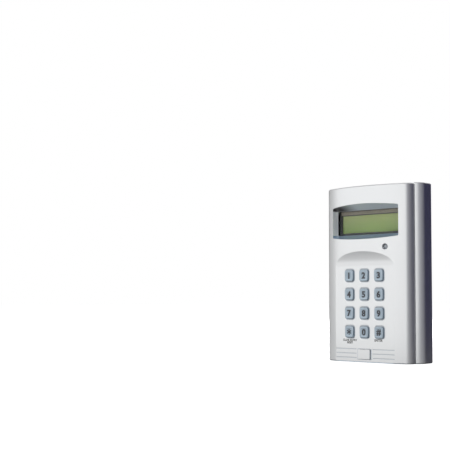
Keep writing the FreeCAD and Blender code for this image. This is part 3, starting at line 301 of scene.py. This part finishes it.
def case_plastic():
    """Satin silver-white lacquer on a fine grain, with painted shade bluer in the display recess, grey
    in the slots, round the button and along the lower edge, and painted light on the recess ends.
    """
    finish = Material("case_plastic", LACQUER, roughness=0.32)
    x, y, z = finish.axis("X"), finish.axis("Y"), finish.axis("Z")
    recess = recess_mask(finish, x, y, z)
    outside = finish.blend(finish.clouds(scale=9.0, edge=0.3, detail=2.0), LACQUER_DULL, LACQUER_PALE)
    # Painted shade and light on the walls of the display recess.
    toned = finish.blend(recess, outside, recess_tones(finish, x, z))
    # Painted shade in the key wells and grooves.
    toned = finish.blend(slot_mask(finish, x, y, z), toned, SLOT_PAINTED_SHADE)
    # Painted shade on the button's sides and in its gap.
    toned = finish.blend(button_mask(finish, x, y, z), toned, BUTTON_PAINTED_SHADE)
    # Painted shade along the lower edge.
    bottom = finish.band(z, BOTTOM_LOW, BOTTOM_HIGH, BOTTOM_FADE)
    finish.colour(finish.blend(bottom, toned, BOTTOM_PAINTED_SHADE))
    finish.link(finish.spread(recess, LACQUER_METAL, RECESS_METAL), finish.shader.inputs["Metallic"])
    finish.rough(scale=420.0, low=0.28, high=0.36)
    finish.bump(finish.noise(scale=2600.0, detail=2.0), depth=0.012 * MM, strength=0.5, edge=0.25 * MM)
    return finish.data


# --------------------------------------------------------------------------------- other finishes

# Key caps: painted shade on the rim and sides, starting behind the face.
KEY_FACE = (0.36, 0.44, 0.51)
KEY_FACE_PALE = (0.44, 0.52, 0.59)
KEY_RIM_PAINTED_SHADE = (0.19, 0.25, 0.31)
KEY_RIM_START, KEY_RIM_END = 0.1 * MM, 0.7 * MM

CLEAR = (0.97, 0.98, 0.98)

# Frame of the display: black, with a painted brown reflection along a strip between two heights.
BLACK_ENAMEL = (0.02, 0.02, 0.022)
BROWN_PAINTED_REFLECTION = (0.20, 0.175, 0.13)
BROWN_LOW, BROWN_HIGH = 138.7 * MM, 141.6 * MM
BROWN_LEFT, BROWN_RIGHT = -33 * MM, 60 * MM
BROWN_FADE, BROWN_END_FADE = 0.4 * MM, 1.0 * MM

# Display cell, from its lower edge to its upper one.
CELL_LOW_GREEN = (0.165, 0.25, 0.06)
CELL_HIGH_GREEN = (0.29, 0.335, 0.125)
CELL_LOW_EDGE, CELL_HIGH_EDGE = 3 * MM, 4 * MM

BOARD_GREEN = (0.02, 0.12, 0.05)
TRACK_GREEN = (0.05, 0.20, 0.08)


def key_plastic():
    """Bluish silver lacquer on the caps' faces, with painted shade round their rims and sides."""
    finish = Material("key_plastic", KEY_FACE, roughness=0.3, Metallic=0.45, Coat_Weight=0.3)
    face = finish.blend(finish.clouds(scale=60.0, edge=0.3), KEY_FACE, KEY_FACE_PALE)
    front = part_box("key_5")[0].y
    # Painted shade on the cap's rim and sides.
    rim = finish.rise(finish.axis("Y"), front + KEY_RIM_START, front + KEY_RIM_END)
    finish.colour(finish.blend(rim, face, KEY_RIM_PAINTED_SHADE))
    finish.bump(finish.noise(scale=3000.0, detail=2.0), depth=0.01 * MM, strength=0.4, edge=0.2 * MM)
    return finish.data


def window_acrylic():
    """Clear pane with a breath of haze."""
    finish = Material("window_acrylic", CLEAR, roughness=0.03, Transmission_Weight=1.0, IOR=1.2)
    finish.rough(scale=180.0, low=0.02, high=0.06)
    return finish.data


def bezel_steel():
    """Black stoved enamel, with a painted brown reflection along the strip above the display."""
    finish = Material("bezel_steel", BLACK_ENAMEL, roughness=0.35)
    # Painted brown reflection on the strip above the display.
    height = finish.band(finish.axis("Z"), BROWN_LOW, BROWN_HIGH, BROWN_FADE)
    width = finish.band(finish.axis("X"), BROWN_LEFT, BROWN_RIGHT, BROWN_END_FADE)
    finish.colour(finish.blend(finish.times(height, width), BLACK_ENAMEL, BROWN_PAINTED_REFLECTION))
    finish.rough(scale=500.0, low=0.3, high=0.42)
    finish.bump(finish.noise(scale=1800.0, detail=2.0), depth=0.01 * MM, strength=0.4, edge=0.15 * MM)
    return finish.data


def display_glass():
    """Yellow-green cell of the display, a deeper green downwards."""
    finish = Material("display_glass", CELL_HIGH_GREEN, roughness=0.18, Coat_Weight=0.4)
    low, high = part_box("display_glass")
    height = finish.rise(finish.axis("Z"), low.z + CELL_LOW_EDGE, high.z - CELL_HIGH_EDGE)
    finish.colour(finish.blend(height, CELL_LOW_GREEN, CELL_HIGH_GREEN))
    finish.rough(scale=300.0, low=0.15, high=0.25)
    return finish.data


def circuit_board():
    """Green solder resist with a faint grid of copper under it."""
    finish = Material("circuit_board", BOARD_GREEN, roughness=0.3)
    tracks = finish.node("ShaderNodeTexVoronoi", Scale=350.0, distance="MANHATTAN")
    finish.link(finish.place, tracks.inputs["Vector"])
    distance = tracks.outputs["Distance"]
    finish.colour(finish.blend(finish.rise(distance, 0.25, 0.35), TRACK_GREEN, BOARD_GREEN))
    finish.bump(distance, depth=0.02 * MM, strength=0.4)
    return finish.data


def plain(name, first, second, roughness, grain=900.0, depth=0.01 * MM, **inputs):
    """A finish of two near tones with a fine grain."""
    finish = Material(name, first, roughness, **inputs)
    finish.colour(finish.blend(finish.clouds(scale=grain / 6, edge=0.35), first, second))
    finish.rough(scale=grain / 3, low=roughness - 0.05, high=roughness + 0.07)
    finish.bump(finish.noise(scale=grain), depth, strength=0.5, edge=0.1 * MM)
    return finish.data


MATERIALS = {
    "case_plastic": case_plastic(),
    "key_plastic": key_plastic(),
    "window_acrylic": window_acrylic(),
    "bezel_steel": bezel_steel(),
    "display_glass": display_glass(),
    "circuit_board": circuit_board(),
    "mat_rubber": plain("mat_rubber", (0.28, 0.29, 0.30), (0.32, 0.33, 0.34), 0.7, depth=0.03 * MM),
    "plated_steel": plain("plated_steel", (0.60, 0.60, 0.58), (0.68, 0.68, 0.66), 0.3, Metallic=1.0),
    "backlight_acrylic": plain("backlight_acrylic", (0.62, 0.66, 0.45), (0.66, 0.70, 0.5), 0.4),
    "lamp_epoxy": plain("lamp_epoxy", (0.36, 0.39, 0.43), (0.4, 0.43, 0.47), 0.12,
                        Transmission_Weight=0.4),
    "black_plastic": plain("black_plastic", (0.018, 0.018, 0.02), (0.025, 0.025, 0.028), 0.45),
    "radio_shield": plain("radio_shield", (0.55, 0.56, 0.55), (0.62, 0.63, 0.62), 0.3, Metallic=1.0),
    "ribbon_plastic": plain("ribbon_plastic", (0.38, 0.39, 0.40), (0.44, 0.45, 0.46), 0.5),
}
DIGIT_INK = plain("legend_ink", (0.045, 0.045, 0.05), (0.06, 0.06, 0.065), 0.5)
LABEL_INK = plain("label_ink", (0.03, 0.03, 0.03), (0.04, 0.04, 0.04), 0.5)

for entry in frame["record"]["subparts"]:
    mesh = NODES[entry["node"]].data
    mesh.materials.clear()
    mesh.materials.append(MATERIALS[entry["material_slot"]])


# ------------------------------------------------------------------------------------ mesh helpers

def new_piece(name, mesh, material, body, replaces=()):
    """Puts a finished mesh in the scene as a piece that rides a body."""
    piece = bpy.data.objects.new(name, mesh)
    bpy.context.scene.collection.objects.link(piece)
    mesh.materials.clear()
    mesh.materials.append(material)
    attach(piece, body)
    if replaces:
        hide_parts(*replaces)
    return piece


def merged_copy(node):
    """A copy of a CAD node's loose triangles with their doubles merged."""
    body = bmesh.new()
    body.from_mesh(NODES[node].data)
    bmesh.ops.remove_doubles(body, verts=body.verts, dist=MERGE)
    return body


def as_mesh(name, body, sharp=None):
    """The finished shape as a mesh, shaded smooth where a sharp angle is given."""
    mesh = bpy.data.meshes.new(name)
    body.to_mesh(mesh)
    body.free()
    if sharp:
        mesh.shade_smooth()
        mesh.set_sharp_from_angle(angle=math.radians(sharp))
    return mesh


def facing(body, way):
    """The faces whose normal points that way."""
    return [face for face in body.faces if face.normal.dot(Vector(way)) > FACING_AGREES]


def drawn_out(body, faces, distance):
    """Extrudes faces along Y, leaves none behind inside, and gives the new vertices."""
    made = bmesh.ops.extrude_face_region(body, geom=faces)["geom"]
    bmesh.ops.delete(body, geom=faces, context="FACES")
    verts = [item for item in made if isinstance(item, bmesh.types.BMVert)]
    bmesh.ops.translate(body, verts=verts, vec=(0, distance, 0))
    return verts


def rounded(body, edges, radius, steps):
    """Rounds edges off."""
    bmesh.ops.bevel(body, geom=edges, offset=radius, offset_type="OFFSET", segments=steps,
                    profile=0.5, affect="EDGES", material=-1)


# ------------------------------------------------------------------------------------------- shells

ROUND_COVER = (("Z", BOW_CENTRE, BOW_RADIUS),
               ("Z", (CORNER_X, CORNER_Y), COVER_CORNER),
               ("Z", (-CORNER_X, CORNER_Y), COVER_CORNER),
               ("X", (SCOOP_Y, SCOOP_Z), SCOOP_RADIUS))
ROUND_REAR = (("Z", (SHOULDER_X, SHOULDER_Y), SHOULDER_RADIUS),
              ("Z", (-SHOULDER_X, SHOULDER_Y), SHOULDER_RADIUS),
              ("Z", (REAR_HIGH.x - REAR_CORNER, BACK - REAR_CORNER), REAR_CORNER),
              ("Z", (REAR_CORNER - REAR_HIGH.x, BACK - REAR_CORNER), REAR_CORNER))
ROUND_REACH = 0.06 * MM
ROUND_AGREES = 0.985
FLAT_AGREES = 0.99995
SHELL_SHARP = 24

# Lacquer softens the blends: corner normals are turned on by up to so much.
EASE_START = math.radians(14)
COVER_EASE = math.radians(14)
REAR_EASE = math.radians(3)
SCOOP_EASE = 1.25
SCOOP_TILT = 0.01


def eased(normal, most):
    """A side corner's or the scoop's normal turned on a little."""
    if abs(normal.z) > SCOOP_TILT:
        dip = math.atan2(normal.z, -normal.y) * SCOOP_EASE
        return Vector((0, -math.cos(dip), math.sin(dip)))
    turn = math.atan2(normal.x, -normal.y)
    past = abs(turn) - EASE_START
    if past <= 0 or abs(turn) >= math.pi / 2:
        return normal
    more = most * math.sin(math.pi * past / (math.pi / 2 - EASE_START))
    turn += math.copysign(more, turn)
    return Vector((math.sin(turn), -math.cos(turn), 0))


def round_face_normal(point, normal, faces):
    """The true normal where the point lies on one of the listed round faces, or None."""
    for axis, centre, radius in faces:
        if axis == "Z":
            out = Vector((point.x - centre[0], point.y - centre[1], 0))
        else:
            out = Vector((0, point.y - centre[0], point.z - centre[1]))
        if abs(out.length - radius) > ROUND_REACH:
            continue
        out.normalize()
        share = out.dot(normal)
        if abs(share) > ROUND_AGREES:
            return out if share > 0 else -out
    return None


def smooth_shell(name, node, round_faces, ease):
    """A merged copy of a shell, shaded with the normals of its flat and round faces."""
    mesh = as_mesh(name, merged_copy(node), SHELL_SHARP)
    corners = [normal.vector.copy() for normal in mesh.corner_normals]
    for face in mesh.polygons:
        flat = max(abs(face.normal.x), abs(face.normal.y), abs(face.normal.z)) > FLAT_AGREES
        for corner in face.loop_indices:
            if flat:
                corners[corner] = face.normal.copy()
                continue
            point = mesh.vertices[mesh.loops[corner].vertex_index].co
            true = round_face_normal(point, face.normal, round_faces)
            if true is not None:
                corners[corner] = eased(true, ease)
    mesh.normals_split_custom_set(corners)
    new_piece(name, mesh, MATERIALS["case_plastic"], "housing", (node,))


smooth_shell("front_cover_skin", "front_cover", ROUND_COVER, COVER_EASE)
smooth_shell("rear_housing_skin", "rear_housing", ROUND_REAR, REAR_EASE)


# -------------------------------------------------------------------------------------- key caps

KEY_FLANGE = 1.1 * MM
KEY_CORNER = 2.0 * MM
KEY_CORNER_STEPS = 5
KEY_ROUND = 1.0 * MM
KEY_ROUND_STEPS = 4
KEY_FOOT = 4.8 * MM
KEY_SHARP = 40
DISH_DEPTH = 0.42 * MM
DISH_RINGS = 4
DISH_INSET = 0.0001 * MM
FLANGE_FRONT = PANEL_Y + 2.5 * MM
FLANGE_BACK = FLANGE_FRONT + 1.0 * MM


def flange_block(low, high):
    """The stop flange, out of which the cap's front and its foot are drawn."""
    block = bmesh.new()
    bmesh.ops.create_cube(block, size=1.0)
    bmesh.ops.scale(block, verts=block.verts,
                    vec=(high.x - low.x, FLANGE_BACK - FLANGE_FRONT, high.z - low.z))
    bmesh.ops.translate(block, verts=block.verts,
                        vec=((low.x + high.x) / 2, (FLANGE_FRONT + FLANGE_BACK) / 2,
                             (low.z + high.z) / 2))
    block.normal_update()
    return block


def round_front(cap, low):
    """Draws the front out of the flange and rounds its four corners and its rim."""
    front = facing(cap, FORWARD)
    bmesh.ops.inset_region(cap, faces=front, thickness=KEY_FLANGE)
    tip = drawn_out(cap, front, low.y - FLANGE_FRONT)
    corners = [edge for vert in tip for edge in vert.link_edges
               if abs(edge.verts[0].co.y - edge.verts[1].co.y) > MM]
    rounded(cap, corners, KEY_CORNER, KEY_CORNER_STEPS)
    rim = [edge for edge in cap.edges if all(abs(vert.co.y - low.y) < MERGE for vert in edge.verts)]
    rounded(cap, rim, KEY_ROUND, KEY_ROUND_STEPS)
    cap.normal_update()


def dish_front(cap, low, high):
    """Hollows the front in rings that sink towards its middle."""
    dish = min(facing(cap, FORWARD), key=lambda face: face.calc_center_median().y)
    middle = Vector(((low.x + high.x) / 2, 0, (low.z + high.z) / 2))
    for ring in range(DISH_RINGS):
        bmesh.ops.inset_individual(cap, faces=[dish], thickness=DISH_INSET)
        share = 1 - (ring + 1) / (DISH_RINGS + 1)
        before = 1 - ring / (DISH_RINGS + 1)
        bmesh.ops.scale(cap, verts=dish.verts, vec=(share / before, 1, share / before),
                        space=Matrix.Translation(-middle))
        for vert in dish.verts:
            vert.co.y = low.y + DISH_DEPTH * (1 - share ** 2)
    cap.normal_update()


def square_foot(cap, low, high):
    """Draws the foot that presses the dome out of the back of the flange."""
    back = facing(cap, BACKWARD)
    bmesh.ops.inset_region(cap, faces=back, thickness=(high.x - low.x - KEY_FOOT) / 2)
    foot_low = (low.z + high.z - KEY_FOOT) / 2
    for vert in back[0].verts:
        vert.co.z = foot_low if vert.co.z < foot_low + KEY_FOOT / 2 else foot_low + KEY_FOOT
    drawn_out(cap, back, high.y - FLANGE_BACK)


def key_skin(key):
    """A push cap with a softly rounded rim, its stop flange behind the panel and its square foot."""
    low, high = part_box(key)
    cap = flange_block(low, high)
    round_front(cap, low)
    dish_front(cap, low, high)
    square_foot(cap, low, high)
    bmesh.ops.recalc_face_normals(cap, faces=cap.faces)
    mesh = as_mesh(key + "_skin", cap, KEY_SHARP)
    new_piece(key + "_skin", mesh, MATERIALS["key_plastic"], key + "_cap", (key,))


# ------------------------------------------------------------------------ digits and printed words

DIGIT_SIZE = 8.0 * MM
DIGIT_BOLD = 0.34 * MM
DIGIT_THICK = 0.2 * MM
STAR_SCALE = 1.5
LABEL_BOLD = 0.10 * MM
LABEL_THICK = 0.03 * MM
CAPITAL_SHARE = 0.7
LETTER_STEPS = 6
LETTER_MERGE = 0.0001 * MM

# Name, words, middle across and up, and height of the capitals, in millimetres.
LABELS = (("label_clear", "CLEAR ENTRY", -16.7, 20.3, 1.8),
          ("label_reset", "RESET", -16.7, 18.0, 1.8),
          ("label_enter", "ENTER", 15.8, 20.6, 2.1))


def text_mesh(name, words, size, bold, thick):
    """Words as a merged mesh, centred on the origin, standing in the XZ plane and facing -Y."""
    curve = bpy.data.curves.new(name, "FONT")
    curve.body = words
    curve.size = size
    curve.offset = bold
    curve.extrude = thick / 2
    curve.align_x = "CENTER"
    curve.resolution_u = LETTER_STEPS
    holder = bpy.data.objects.new(name, curve)
    bpy.context.scene.collection.objects.link(holder)
    bpy.context.view_layer.update()
    shown = holder.evaluated_get(bpy.context.evaluated_depsgraph_get())
    mesh = bpy.data.meshes.new_from_object(shown)
    bpy.data.objects.remove(holder)
    letters = bmesh.new()
    letters.from_mesh(mesh)
    bmesh.ops.remove_doubles(letters, verts=letters.verts, dist=LETTER_MERGE)
    letters.to_mesh(mesh)
    letters.free()
    xs = [vert.co.x for vert in mesh.vertices]
    ys = [vert.co.y for vert in mesh.vertices]
    middle = Vector(((min(xs) + max(xs)) / 2, (min(ys) + max(ys)) / 2, 0))
    mesh.transform(Matrix.Rotation(math.radians(90), 4, "X") @ Matrix.Translation(-middle))
    return mesh


def raised_digit(key, digit):
    """The digit of a cap, standing in the bottom of its dish."""
    low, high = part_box(key)
    scale = STAR_SCALE if digit == "*" else 1.0
    mesh = text_mesh(key + "_digit", digit, DIGIT_SIZE * scale, DIGIT_BOLD / scale ** 2, DIGIT_THICK)
    place = Vector(((low.x + high.x) / 2, low.y + DISH_DEPTH - DIGIT_THICK / 2, (low.z + high.z) / 2))
    mesh.transform(Matrix.Translation(place))
    new_piece(key + "_digit", mesh, DIGIT_INK, key + "_cap")


def printed_words(name, words, x, z, height):
    """A line of generic words printed on the panel."""
    mesh = text_mesh(name, words, height * MM / CAPITAL_SHARE, LABEL_BOLD, LABEL_THICK)
    mesh.transform(Matrix.Translation(Vector((x * MM, PANEL_Y, z * MM))))
    new_piece(name, mesh, LABEL_INK, "housing")


for key, digit in DIGITS.items():
    key_skin(key)
    raised_digit(key, digit)


# ------------------------------------------------------------------------------------- key mat

MAT_LOW, MAT_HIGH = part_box("key_mat")
SHEET_THICK = 1.0 * MM
SHEET_FRONT = MAT_HIGH.y - SHEET_THICK
SHEET_CUT = 0.01 * MM
DOME_HIGH = SHEET_FRONT - MAT_LOW.y
DOME_WALL = 0.5 * MM
DOME_BASE = 4.6 * MM
DOME_TOP = 2.6 * MM
DOME_STEPS = 32
DOME_SHARP = 30
STUD_RADIUS = 1.6 * MM
STUD_LONG = 0.8 * MM


def mat_sheet():
    """The flat sheet of the mat with its thirteen openings, cut from the solid just above its face."""
    sheet = merged_copy("key_mat")
    bmesh.ops.bisect_plane(sheet, geom=sheet.verts[:] + sheet.edges[:] + sheet.faces[:],
                           plane_co=(0, SHEET_FRONT - SHEET_CUT, 0), plane_no=FORWARD,
                           clear_outer=True)
    bmesh.ops.triangle_fill(sheet, use_beauty=True,
                            edges=[edge for edge in sheet.edges if edge.is_boundary])
    bmesh.ops.recalc_face_normals(sheet, faces=sheet.faces)
    mesh = as_mesh("mat_sheet", sheet)
    new_piece("mat_sheet", mesh, MATERIALS["mat_rubber"], "housing", ("key_mat",))


def turned(name, outline, centre):
    """A solid turned about a line along Y through the centre, from points of radius and height."""
    body = bmesh.new()
    corners = [body.verts.new((radius, height, 0)) for radius, height in outline]
    sides = [body.edges.new(pair) for pair in zip(corners, corners[1:] + corners[:1])]
    sides = [edge for edge in sides if any(abs(vert.co.x) > 0 for vert in edge.verts)]
    bmesh.ops.spin(body, geom=corners + sides, cent=(0, 0, 0), axis=BACKWARD, angle=math.tau,
                   steps=DOME_STEPS, use_merge=True)
    bmesh.ops.remove_doubles(body, verts=body.verts, dist=MERGE)
    loose = [edge for edge in body.edges if not edge.link_faces]
    bmesh.ops.delete(body, geom=loose, context="EDGES")
    bmesh.ops.translate(body, verts=body.verts, vec=centre)
    bmesh.ops.recalc_face_normals(body, faces=body.faces)
    return as_mesh(name, body, DOME_SHARP)


def dome(key):
    """A hollow dome, and the carbon stud that the cap takes with it."""
    low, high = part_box(key)
    centre = Vector(((low.x + high.x) / 2, SHEET_FRONT, (low.z + high.z) / 2))
    inner = DOME_WALL - DOME_HIGH
    shell = turned(key + "_dome", ((DOME_BASE, 0), (DOME_TOP, -DOME_HIGH), (0, -DOME_HIGH), (0, inner),
                                   (DOME_TOP - DOME_WALL, inner), (DOME_BASE - DOME_WALL, 0)), centre)
    piece = new_piece(key + "_dome", shell, MATERIALS["mat_rubber"], "housing")
    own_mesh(piece)
    stud = turned(key + "_stud", ((0, inner), (STUD_RADIUS, inner), (STUD_RADIUS, inner + STUD_LONG),
                                  (0, inner + STUD_LONG)), centre)
    new_piece(key + "_stud", stud, MATERIALS["black_plastic"], key + "_cap")


mat_sheet()
for key in (*DIGITS, "square_button"):
    dome(key)
for label in LABELS:
    printed_words(*label)


# --------------------------------------------------------------------------- floor, light and camera

# The floor, in metres: what the camera sees, what it throws back as light and what shows in gloss.
FLOOR_HALF = 6.0
FLOOR_GAP = 0.05 * MM
FLOOR_TONE = (0.6, 0.6, 0.6)
FLOOR_BOUNCE = (0.08, 0.08, 0.08)
GLOW_NEAR, GLOW_FAR = 0.92, 1.0
GLOW_START, GLOW_END = 0.3, 0.6
STRIP_FAR, STRIP_NEAR = -0.50, -0.20
STRIP_EDGE = 0.04
STRIP_GLOSS = 0.75
FLOOR_GLOSS = 0.02

WORLD_LEVEL = 0.02
CARD_HEIGHT = 1.6
CARD_STEPS = 24
LAMP_AIM = Vector((0, 0, 0.08))

CAMERA_SPOT = Vector((561.2, -780.1, 59.9)) * MM
CAMERA_YAW = 44.09
CAMERA_PITCH = 2.7
FOCAL_PIXELS = 1010.9
LENS_ROW = 250.0
FRAME_PIXELS = 450
SENSOR = 36.0
CLIP_NEAR, CLIP_FAR = 0.01, 50.0


def stage_floor():
    """A pale floor that the camera sees white, with the object's soft shadow kept."""
    grid = bmesh.new()
    bmesh.ops.create_grid(grid, x_segments=1, y_segments=1, size=FLOOR_HALF)
    bmesh.ops.translate(grid, verts=grid.verts, vec=(0, 0, -FLOOR_GAP))
    mesh = as_mesh("floor", grid)
    floor = bpy.data.objects.new("floor", mesh)
    bpy.context.scene.collection.objects.link(floor)
    finish = Material("floor_paint", FLOOR_TONE, roughness=0.9, Specular_IOR_Level=0.0)
    seen = finish.node("ShaderNodeLightPath")
    glow = finish.spread(finish.length(finish.place), GLOW_NEAR, GLOW_FAR, GLOW_START, GLOW_END)
    direct = finish.times(seen.outputs["Is Camera Ray"], glow)
    strip = finish.band(finish.axis("Y"), STRIP_FAR, STRIP_NEAR, STRIP_EDGE)
    gloss = finish.times(seen.outputs["Is Glossy Ray"], finish.spread(strip, FLOOR_GLOSS, STRIP_GLOSS))
    finish.shader.inputs["Emission Color"].default_value = (1, 1, 1, 1)
    finish.link(finish.plus(direct, gloss), finish.shader.inputs["Emission Strength"])
    finish.colour(finish.blend(seen.outputs["Is Camera Ray"], FLOOR_BOUNCE, FLOOR_TONE))
    mesh.materials.append(finish.data)


def surround():
    """White behind everything that is seen directly, in gloss or through glass; soft grey light."""
    world = bpy.data.worlds.new("surround")
    bpy.context.scene.world = world
    world.use_nodes = True
    sky = NodeTree(world.node_tree)
    background = sky.tree.nodes["Background"]
    seen = sky.node("ShaderNodeLightPath")
    plainly = sky.plus(seen.outputs["Is Camera Ray"], seen.outputs["Is Glossy Ray"])
    white = sky.plus(plainly, seen.outputs["Is Transmission Ray"], clamp=True)
    background.inputs["Color"].default_value = (1, 1, 1, 1)
    sky.link(sky.spread(white, WORLD_LEVEL, 1.0), background.inputs["Strength"])


def dark_card(name, start, end, distance, foot, colour):
    """A tall card on an arc round the case, which only gloss and soft light notice."""
    arc = bmesh.new()
    turn = math.radians(start)
    low = arc.verts.new((distance * math.sin(turn), -distance * math.cos(turn), foot))
    high = arc.verts.new((low.co.x, low.co.y, CARD_HEIGHT))
    edge = arc.edges.new((low, high))
    bmesh.ops.spin(arc, geom=[low, high, edge], cent=(0, 0, 0), axis=(0, 0, 1),
                   angle=math.radians(end - start), steps=CARD_STEPS)
    mesh = as_mesh(name, arc)
    card = bpy.data.objects.new(name, mesh)
    bpy.context.scene.collection.objects.link(card)
    card.visible_camera = False
    card.visible_shadow = False
    mesh.materials.append(Material(name, colour, roughness=0.9, Specular_IOR_Level=0.0).data)


def soft_box(name, azimuth, elevation, distance, size, power):
    """An area lamp that looks at the middle of the case. Azimuth 0 is in front, 90 on the right."""
    lamp = bpy.data.lights.new(name, "AREA")
    lamp.shape = "DISK"
    lamp.size = size
    lamp.energy = power
    holder = bpy.data.objects.new(name, lamp)
    holder.visible_glossy = False
    bpy.context.scene.collection.objects.link(holder)
    turn, rise = math.radians(azimuth), math.radians(elevation)
    away = Vector((math.sin(turn) * math.cos(rise), -math.cos(turn) * math.cos(rise), math.sin(rise)))
    holder.location = LAMP_AIM + away * distance
    holder.rotation_euler = away.to_track_quat("Z", "Y").to_euler()


def camera():
    """A lens at the case's right front, low, with its middle row a little below the frame's."""
    lens = bpy.data.cameras.new("camera")
    lens.sensor_width = SENSOR
    lens.lens = FOCAL_PIXELS / FRAME_PIXELS * SENSOR
    lens.shift_y = (LENS_ROW - FRAME_PIXELS / 2) / FRAME_PIXELS
    lens.clip_start = CLIP_NEAR
    lens.clip_end = CLIP_FAR
    holder = bpy.data.objects.new("camera", lens)
    bpy.context.scene.collection.objects.link(holder)
    holder.location = CAMERA_SPOT
    holder.rotation_euler = (math.radians(90 + CAMERA_PITCH), 0, math.radians(CAMERA_YAW))
    bpy.context.scene.camera = holder


stage_floor()
surround()
dark_card("card_right", start=72, end=178, distance=0.25, foot=0.0, colour=(0.012, 0.012, 0.07))
dark_card("card_left", start=182, end=286, distance=0.25, foot=0.0, colour=(0.04, 0.03, 0.018))
dark_card("card_above", start=-74, end=72, distance=0.6, foot=0.7, colour=(0.02, 0.02, 0.03))
soft_box("key_light", azimuth=4, elevation=4, distance=1.8, size=0.3, power=35.0)
soft_box("back_light", azimuth=200, elevation=8, distance=1.8, size=0.6, power=30.0)
soft_box("top_light", azimuth=190, elevation=62, distance=1.6, size=0.5, power=16.0)
camera()
bpy.context.scene.view_settings.view_transform = "Standard"
